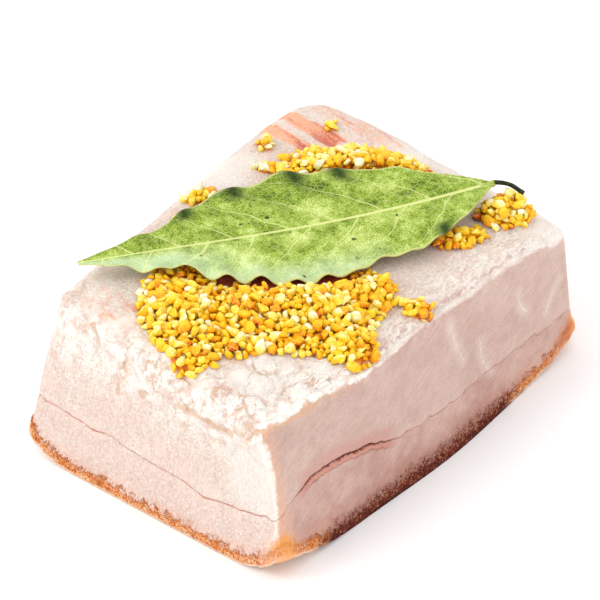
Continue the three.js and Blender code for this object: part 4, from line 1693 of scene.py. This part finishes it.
@dataclass
class BayLeaf:
    """The dried bay leaf, from its tip over the left back corner to its stalk. Crests and folds have
    shares of the length from the tip, and folds the side, 1 at the back and -1 at the front."""

    length: float = 80.0
    tip: Triple = (-31.4, 23.2, 36.9)
    base: Triple = (38.3, -15.9, 32.6)
    stalk_end: Triple = (40.8, -20.7, 30.9)
    half_width: float = 14.2
    taper_tip: float = 1.3
    taper_base: float = 1.0
    tip_width: float = 0.5
    tip_bluntness: float = 4.0
    bow: float = -1.2
    sag: float = -0.8
    arch_skew: float = 1.3
    front_fall: float = -1.0
    back_rise: float = 0.9
    thickness: float = 0.42
    wave_height: float = 1.05
    wave_count: int = 14
    wave_drift: float = 0.3
    front_waves_near_stalk: float = 0.35
    quilting: float = 0.22
    crests: tuple[float, ...] = (0.15, 0.28, 0.418, 0.565, 0.668, 0.81)
    crest_reach: float = 0.03
    crest_dip: float = 0.3
    fold_reach: float = 0.024
    folds: tuple[tuple[float, float], ...] = (
        (0.285, 1.0),
        (0.42, 1.0),
        (0.57, 1.0),
        (0.675, 1.0),
        (0.83, -1.0),
    )
    lobes: tuple[Lobe, ...] = LOBES
    shading_margin: Triple = (0.3, 0.56, -0.84)
    shading_spots: int = 60
    stalk_radius: float = 0.52
    stalk_root: float = 0.965
    stalk_arch: Triple = (0.4, 0.0, 0.5)
    cells: tuple[int, int] = (170, 60)
    stalk_cells: tuple[int, int] = (14, 28)
    finish: LeafFinish = field(default_factory=LeafFinish)
    stalk_finish: StalkFinish = field(default_factory=StalkFinish)

    def half_width_at(self, share: Array) -> Array:
        """Half width at a share of the length from the tip.

        Args:
            share: shares of the length, from the tip.

        Returns:
            Half widths.
        """
        widest = self.taper_tip / (self.taper_tip + self.taper_base)
        taper = (share / widest) ** self.taper_tip * ((1.0 - share) / (1.0 - widest)) ** self.taper_base
        blunt = self.tip_width * (1.0 - share) ** self.tip_bluntness
        return np.maximum(self.stalk_radius * share, self.half_width * taper + blunt)

    def lobe_size(self, figure: str, share: Array, side: Array) -> Array:
        """How far the lobes carry the margin out or up.

        Args:
            figure: name of one of the lobes' sizes.
            share: shares of the length, from the tip.
            side: shares of the half width, positive towards the back.

        Returns:
            Distances.
        """
        size = np.zeros(len(share))
        for lobe in self.lobes:
            near = bump((share - lobe.at) / lobe.reach) * (np.sign(side) == lobe.side)
            size = size + getattr(lobe, figure) * near
        return size

    def margin_wave(self, share: Array, side: Array) -> Array:
        """Height of the waves along the margins.

        Args:
            share: shares of the length, from the tip.
            side: shares of the half width, positive towards the back.

        Returns:
            Heights.
        """
        back = side > 0.0
        phase = self.wave_count * share
        phase = phase + self.wave_drift * lumps(share * 6.0, 1.5, 0.5)
        uneven = 0.8 + 0.4 * lumps(share * 9.0, 0.5, np.where(back, 7.5, 3.5))
        front = lerp(1.0, self.front_waves_near_stalk, smoothstep(share, 0.45, 0.6))
        ends = smoothstep(share, 0.02, 0.15) * smoothstep(1.0 - share, 0.02, 0.15)
        crests = sum(bump((share - crest) / self.crest_reach) for crest in self.crests) - self.crest_dip
        wave = np.where(back, crests, front * np.sin(2.0 * math.pi * phase))
        return self.wave_height * uneven * ends * wave

    def points(self, share: Array, side: Array) -> Array:
        """Middle of the leaf's thickness.

        Args:
            share: shares of the length, from the tip.
            side: shares of the half width, positive towards the back.

        Returns:
            The points, a row each.
        """
        tip, base = np.array(self.tip), np.array(self.base)
        axis = base - tip
        across = np.array([-axis[1], axis[0], 0.0]) / np.hypot(axis[0], axis[1])
        arch = np.sin(math.pi * share**self.arch_skew)
        half_width = self.half_width_at(share) + self.lobe_size("out", share, side)
        aside = half_width * side + self.bow * arch
        points = lerp(tip, base, share[:, None]) + across * aside[:, None]
        tilt = np.where(side > 0.0, self.back_rise, self.front_fall)
        points[:, 2] += arch * (self.sag + tilt * side**2)
        margin = self.margin_wave(share, side) + self.lobe_size("up", share, side)
        points[:, 2] += margin * np.abs(side) ** 3
        return points

    def shaded_spots(self) -> Array:
        """Places just inside the middle of the front margin, a row each, which shade what is below."""
        start, end, side = self.shading_margin
        return self.points(np.linspace(start, end, self.shading_spots), np.full(self.shading_spots, side))

    def quilt(self, share: Array, side: Array, out: Array) -> Array:
        """Low pillows between the veins, in step with the finish's side veins.

        Args:
            share: shares of the length, from the tip.
            side: shares of the half width, positive towards the back.
            out: distances from the midrib.

        Returns:
            Heights.
        """
        finish = self.finish
        path = share * self.length + finish.vein_lean * out + finish.vein_curve * out**2
        turn = path / finish.vein_spacing + finish.vein_stagger * (side > 0.0)
        pillows = np.abs(np.sin(math.pi * (turn - 0.5)))
        fade = smoothstep(out, 0.3, 2.5) * smoothstep(1.0 - np.abs(side), 0.0, 0.2)
        return self.quilting * pillows * fade - 0.15 * bump(out / 0.8)

    def fold_share(self, share: Array, side: Array) -> Array:
        """How far a place lies in the painted shade of a fold of the margin.

        Args:
            share: shares of the length, from the tip.
            side: shares of the half width, positive towards the back.

        Returns:
            0 outside the folds to 1 in them.
        """
        dark = np.zeros(len(share))
        for along, margin in self.folds:
            near = smoothstep(side * margin, 0.64, 0.86) * bump((share - along) / self.fold_reach)
            dark = np.maximum(dark, near)
        return dark

    def build_blade(self) -> bpy.types.Object:
        """Makes the blade and dresses it.

        Returns:
            The finished piece.
        """
        piece = piece_of("bay_leaf_blade", gridded_box((*self.cells, 2)))
        mesh = piece.data
        x, y, z = points_of(mesh).T
        share = np.clip((x + 1.0) / 2.0, 0.0, 1.0)
        side = np.clip(y, -1.0, 1.0)
        out = np.abs(side) * (self.half_width_at(share) + self.lobe_size("out", share, side))
        points = self.points(share, side)
        thin = self.thickness * lerp(1.0, 0.55, np.abs(side) ** 3)
        points[:, 2] += z * thin / 2.0 + self.quilt(share, side, out)
        rib = 0.5 * bump(out / 0.55) * smoothstep(share, 0.05, 0.5)
        points[:, 2] -= np.where(z < -0.5, rib, 0.0)
        set_points(mesh, points)
        fold = self.fold_share(share, side)
        set_figures(mesh, along=share, across=side, from_midrib=out, fold=fold, under=z < -0.5)
        mesh.materials.append(self.finish.build())
        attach(piece, BODY)
        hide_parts(Solid.LEAF.value)
        return piece

    def build_stalk(self) -> bpy.types.Object:
        """Makes the stalk, which arches up out of the midrib and down to its cut end.

        Returns:
            The finished piece.
        """
        sides, lengths = self.stalk_cells
        shape = bmesh.new()
        bmesh.ops.create_cone(shape, cap_ends=True, segments=sides, radius1=1.0, radius2=1.0, depth=2.0)
        upright = [e for e in shape.edges if abs(e.verts[1].co.z - e.verts[0].co.z) > 1.0]
        bmesh.ops.subdivide_edges(shape, edges=upright, cuts=lengths - 1)
        piece = piece_of("bay_leaf_stalk", shape)
        mesh = piece.data
        x, y, z = points_of(mesh).T
        share = np.clip((z + 1.0) / 2.0, 0.0, 1.0)
        root, foot = self.points(np.array([self.stalk_root, 1.0]), np.array([0.0, 0.0]))
        end = np.array(self.stalk_end)
        bend = (np.array(self.base) + end) / 2.0 + np.array(self.stalk_arch)
        knots = np.stack([root, foot, bend, end])
        middle = self.curve(knots, share)
        ahead = self.curve(knots, share + 0.01) - self.curve(knots, share - 0.01)
        ahead = ahead / np.linalg.norm(ahead, axis=1)[:, None]
        aside = np.cross(ahead, (0.0, 0.0, 1.0))
        aside = aside / np.linalg.norm(aside, axis=1)[:, None]
        upward = np.cross(aside, ahead)
        swelling = 1.0 + 0.08 * np.cos(7.0 * share) + 0.25 * smoothstep(share, 0.88, 1.0)
        tapered = lerp(0.3, 1.0, smoothstep(share, 0.0, 0.36)) * lerp(1.0, 0.75, share)
        thick = self.stalk_radius * swelling * tapered
        points = middle + (aside * x[:, None] + upward * y[:, None]) * thick[:, None]
        points = points + 0.08 * lumps_at(points, 1.1)[:, None] * upward
        set_points(mesh, points)
        set_figures(mesh, along=share)
        mesh.materials.append(self.stalk_finish.build())
        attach(piece, BODY)
        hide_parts(Solid.LEAF.value)
        return piece

    @staticmethod
    def curve(knots: Array, share: Array) -> Array:
        """Points at shares of the way along a smooth curve through knots.

        Args:
            knots: points that the curve passes, a row each.
            share: shares of the way.

        Returns:
            The points, a row each.
        """
        spans = len(knots) - 1
        padded = np.concatenate([[2.0 * knots[0] - knots[1]], knots, [2.0 * knots[-1] - knots[-2]]])
        place = share * spans
        span = np.clip(np.floor(place), 0, spans - 1).astype(int)
        t = (place - span)[:, None]
        a, b, c, d = (padded[span + n] for n in range(4))
        steep = 0.5 * (c - a)
        return b + steep * t + (a - 2.5 * b + 2.0 * c - 0.5 * d) * t**2 + 0.5 * (3.0 * (b - c) + d - a) * t**3


class Surface:
    """A finished piece's surface, for finding heights on it."""

    def __init__(self, piece: bpy.types.Object) -> None:
        """Takes the piece's faces."""
        corners = [face.vertices[:] for face in piece.data.polygons]
        self.tree = BVHTree.FromPolygons(points_of(piece.data).tolist(), corners)

    def over(self, x: float, y: float) -> tuple[float, float] | None:
        """Height and levelness, 1 where level, of the surface seen from above, or None."""
        hit = self.tree.ray_cast(Vector((x * MM, y * MM, 0.1)), Vector((0.0, 0.0, -1.0)))
        return None if hit[0] is None else (hit[0].z / MM, abs(hit[1].z))

    def under(self, x: float, y: float) -> float | None:
        """Height at which the surface is first met from below, or None."""
        hit = self.tree.ray_cast(Vector((x * MM, y * MM, 0.0)), Vector((0.0, 0.0, 1.0)))
        return None if hit[0] is None else hit[0].z / MM


@dataclass
class GarlicGranules:
    """Golden granules that lie in heaps on the slab, as one joined mesh. Their radii run from the
    smallest to the largest, and a power above 1 makes small ones the more common."""

    heaps: tuple[Heap, ...] = HEAPS
    smallest: float = 0.6
    largest: float = 1.18
    shapes: int = 24
    segments: int = 8
    rings: int = 5
    flats: int = 7
    flat_from: tuple[float, float] = (0.42, 0.85)
    lumpiness: float = 0.3
    longer: tuple[float, float] = (1.05, 1.6)
    flatter: tuple[float, float] = (0.75, 1.0)
    small_power: float = 1.4
    tone_spread: float = 3.0
    raggedness: float = 0.16
    to_each_area: float = 3.3
    choices: int = 4
    packing: float = 0.68
    sink: float = 0.35
    leaf_gap: float = 0.8
    leaf_clearance: float = 1.5
    # Tone taken from granules under the leaf: painted shadow
    under_leaf: float = -0.3
    # Tone added towards each granule's top: painted light on the tops and painted shade on the lower sides
    top_paler: float = 0.26
    back_paler: float = 0.1
    steepest: float = 0.3
    sharpest: float = 48.0
    no_roof: float = 1000.0
    looks: int = 8
    lean: float = 0.45
    seed: int = 20417
    finish: GranuleFinish = field(default_factory=GranuleFinish)

    def chip(self, random: Random) -> tuple[Array, Array]:
        """One chip of unit size: a lumpy ball with a few flats on it, longer one way.

        Args:
            random: source of random numbers.

        Returns:
            The chip's corners, a row each, and the corners of its triangles.
        """
        shape = bmesh.new()
        bmesh.ops.create_uvsphere(shape, u_segments=self.segments, v_segments=self.rings, radius=1.0)
        bmesh.ops.triangulate(shape, faces=shape.faces)
        shape.verts.index_update()
        points = np.array([v.co[:] for v in shape.verts])
        faces = np.array([[v.index for v in face.verts] for face in shape.faces])
        shape.free()
        points = points * (1.0 + self.lumpiness * lumps_at(points, 0.8, 50.0 * random.random())[:, None])
        for facing in random.normal(size=(self.flats, 3)):
            facing = facing / np.linalg.norm(facing)
            past = np.maximum(0.0, points @ facing - random.uniform(*self.flat_from))
            points = points - np.outer(past, facing)
        stretch = (random.uniform(*self.longer), 1.0, random.uniform(*self.flatter))
        return points * stretch, faces

    def roof_over(self, leaf: Surface, x: float, y: float, radius: float) -> float:
        """Lowest height of the leaf over a granule, or a great height where no leaf is above.

        Args:
            leaf: the leaf.
            x: place along X.
            y: place along Y.
            radius: how far from the place the looks up at the leaf go, besides one in the middle.

        Returns:
            The height.
        """
        lowest = self.no_roof
        for turn in range(self.looks + 1):
            reach = radius if turn else 0.0
            angle = 2.0 * math.pi * turn / self.looks
            height = leaf.under(x + reach * math.cos(angle), y + reach * math.sin(angle))
            lowest = min(lowest, self.no_roof if height is None else height)
        return lowest

    def rest_height(self, ground: float, x: float, y: float, radius: float, placed: Array) -> float:
        """Height at which a granule comes to rest on the fat or on granules already placed.

        Args:
            ground: height of the fat.
            x: place along X.
            y: place along Y.
            radius: the granule's radius.
            placed: granules already placed, a row each.

        Returns:
            Height of its middle.
        """
        height = ground + radius * (1.0 - self.sink)
        if len(placed):
            reach = self.packing * (placed[:, 3] + radius)
            apart = np.hypot(placed[:, 0] - x, placed[:, 1] - y)
            near = apart < reach
            if near.any():
                stacked = placed[near, 2] + np.sqrt(reach[near] ** 2 - apart[near] ** 2)
                height = max(height, float(stacked.max()))
        return height

    def place_all(self, slab: Surface, leaf: Surface, random: Random) -> Array:
        """Drops granules on the heaps, each on the lowest of a few spots.

        Args:
            slab: the fat that they lie on.
            leaf: the leaf that they stay under.
            random: source of random numbers.

        Returns:
            Each granule's place and radius, a row each.
        """
        placed = np.empty((0, 4))
        for heap in self.heaps:
            for _ in range(round(heap.area() * self.to_each_area)):
                radius = self.smallest + (self.largest - self.smallest) * random.random() ** self.small_power
                best = None
                for _ in range(self.choices):
                    spot = self.try_spot(heap, radius, slab, leaf, placed, random)
                    if spot is not None and (best is None or spot[2] < best[2]):
                        best = spot
                if best is not None:
                    placed = np.vstack([placed, best])
        return placed

    def try_spot(
        self,
        heap: Heap,
        radius: float,
        slab: Surface,
        leaf: Surface,
        placed: Array,
        random: Random,
    ) -> tuple[float, float, float, float] | None:
        """A random spot in a heap where a granule can lie, or None.

        Args:
            heap: the heap.
            radius: the granule's radius.
            slab: the fat that it lies on.
            leaf: the leaf that it stays under.
            placed: granules already placed, a row each.
            random: source of random numbers.

        Returns:
            The granule's place and radius, or None where it can't lie.
        """
        direction = 2.0 * math.pi * random.random()
        round_x, round_y = 2.0 * math.cos(direction), 2.0 * math.sin(direction)
        uneven = 1.0 + self.raggedness * float(lumps(heap.x + round_x, round_y, 0.5)[0])
        reach = math.sqrt(random.random())
        x, y = heap.spot(reach * uneven, direction)
        found = slab.over(x, y)
        if found is None or found[1] < self.steepest:
            return None
        ground = found[0]
        height = self.rest_height(ground, x, y, radius, placed)
        highest = ground + radius + heap.pile * (1.0 - reach**2)
        roof = self.roof_over(leaf, x, y, radius + self.leaf_clearance) - self.leaf_gap - radius
        if height > highest or height > roof:
            return None
        return x, y, height, radius

    def build(self, slab: Surface, leaf: Surface) -> bpy.types.Object:
        """Makes the granules and dresses them.

        Args:
            slab: the fat that they lie on.
            leaf: the leaf that they stay under.

        Returns:
            The finished piece.
        """
        random = np.random.default_rng(self.seed)
        chips = [self.chip(random) for _ in range(self.shapes)]
        points, faces, tones = [], [], []
        count = 0
        for x, y, z, radius in self.place_all(slab, leaf, random):
            corners, triangles = chips[random.integers(self.shapes)]
            turn = self.random_turn(random)
            points.append(corners @ turn.T * radius + (x, y, z))
            faces.append(triangles + count)
            tone = random.beta(self.tone_spread, self.tone_spread)
            # Granules under the leaf are darker: painted shadow
            tone = tone + (0.0 if leaf.under(x, y) is None else self.under_leaf)
            tone = tone + self.back_paler * float(smoothstep(y, 2.0, 10.0))
            # Paler towards each granule's top: painted light, and painted shade below
            tones.append(tone + self.top_paler * (corners @ turn.T)[:, 2])
            count += len(corners)
        mesh = bpy.data.meshes.new("garlic_granules")
        mesh.from_pydata((np.concatenate(points) * MM).tolist(), [], np.concatenate(faces).tolist())
        mesh.shade_smooth()
        mesh.set_sharp_from_angle(angle=math.radians(self.sharpest))
        set_figures(mesh, tone=np.concatenate(tones))
        mesh.materials.append(self.finish.build())
        piece = bpy.data.objects.new("garlic_granules", mesh)
        bpy.context.scene.collection.objects.link(piece)
        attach(piece, BODY)
        return piece

    def random_turn(self, random: Random) -> Array:
        """A random turn that keeps a chip roughly on its flat side.

        Args:
            random: source of random numbers.

        Returns:
            The turn as a matrix.
        """
        angle = 2.0 * math.pi * random.random()
        lean_x, lean_y = random.normal(0.0, self.lean, size=2)
        c, s = math.cos(angle), math.sin(angle)
        turn_z = np.array([[c, -s, 0.0], [s, c, 0.0], [0.0, 0.0, 1.0]])
        c, s = math.cos(lean_x), math.sin(lean_x)
        turn_x = np.array([[1.0, 0.0, 0.0], [0.0, c, -s], [0.0, s, c]])
        c, s = math.cos(lean_y), math.sin(lean_y)
        turn_y = np.array([[c, 0.0, s], [0.0, 1.0, 0.0], [-s, 0.0, c]])
        return turn_z @ turn_x @ turn_y


@dataclass
class Studio:
    """White floor, soft light and the camera. The clip distances are metres."""

    azimuth: float = -51.0
    elevation: float = 38.0
    distance: float = 900.0
    target: Triple = (7.75, 4.7, 14.0)
    focal_pixels: float = 4950.0
    picture: int = 600
    sensor: float = 36.0
    clip: tuple[float, float] = (0.05, 20.0)
    floor_size: float = 2000.0
    sky: float = 1.18
    key_power: float = 2.4
    key_from: Triple = (-0.62, 0.42, 0.66)
    key_distance: float = 900.0
    key_size: float = 420.0
    finish: FloorFinish = field(default_factory=FloorFinish)

    def build_floor(self) -> None:
        """Lays the floor, which isn't part of the object."""
        shape = bmesh.new()
        bmesh.ops.create_grid(shape, x_segments=8, y_segments=8, size=self.floor_size * MM)
        floor = piece_of("studio_floor", shape)
        floor.data.materials.append(self.finish.build())

    def build_light(self) -> None:
        """Hangs a soft lamp at the upper left, in an evenly bright white room."""
        world = bpy.data.worlds.new("white_room")
        world.use_nodes = True
        room = world.node_tree.nodes["Background"]
        room.inputs["Color"].default_value = (1.0, 1.0, 1.0, 1.0)
        room.inputs["Strength"].default_value = self.sky
        bpy.context.scene.world = world
        lamp = bpy.data.lights.new("soft_key", "AREA")
        lamp.shape = "DISK"
        lamp.size = self.key_size * MM
        lamp.energy = self.key_power
        hung = bpy.data.objects.new("soft_key", lamp)
        direction = Vector(self.key_from).normalized()
        hung.location = (Vector(self.target) + direction * self.key_distance) * MM
        hung.rotation_euler = direction.to_track_quat("Z", "Y").to_euler()
        bpy.context.scene.collection.objects.link(hung)

    def build_camera(self) -> None:
        """Stands the camera where the photograph was taken from."""
        a, e = math.radians(self.azimuth), math.radians(self.elevation)
        back = Vector((math.sin(a) * math.cos(e), -math.cos(a) * math.cos(e), math.sin(e)))
        lens = bpy.data.cameras.new("camera")
        lens.sensor_width = self.sensor
        lens.lens = self.sensor * self.focal_pixels / self.picture
        lens.clip_start, lens.clip_end = self.clip
        camera = bpy.data.objects.new("camera", lens)
        camera.location = (Vector(self.target) + back * self.distance) * MM
        camera.rotation_euler = back.to_track_quat("Z", "Y").to_euler()
        bpy.context.scene.collection.objects.link(camera)
        bpy.context.scene.camera = camera
        bpy.context.scene.view_settings.view_transform = "Standard"


def main() -> None:
    """Builds the pieces in order, then the studio."""
    logging.basicConfig(level=logging.INFO, format="%(message)s")
    leaf = BayLeaf()
    slab_piece = FatSlab(leaf_margin=leaf.shaded_spots()).build()
    blade = leaf.build_blade()
    stalk = leaf.build_stalk()
    granules = GarlicGranules().build(Surface(slab_piece), Surface(blade))
    for piece in (slab_piece, blade, stalk, granules):
        log.info("%s: %d triangles", piece.name, triangle_count(piece))
    studio = Studio()
    studio.build_floor()
    studio.build_light()
    studio.build_camera()


if __name__ == "__main__":
    main()
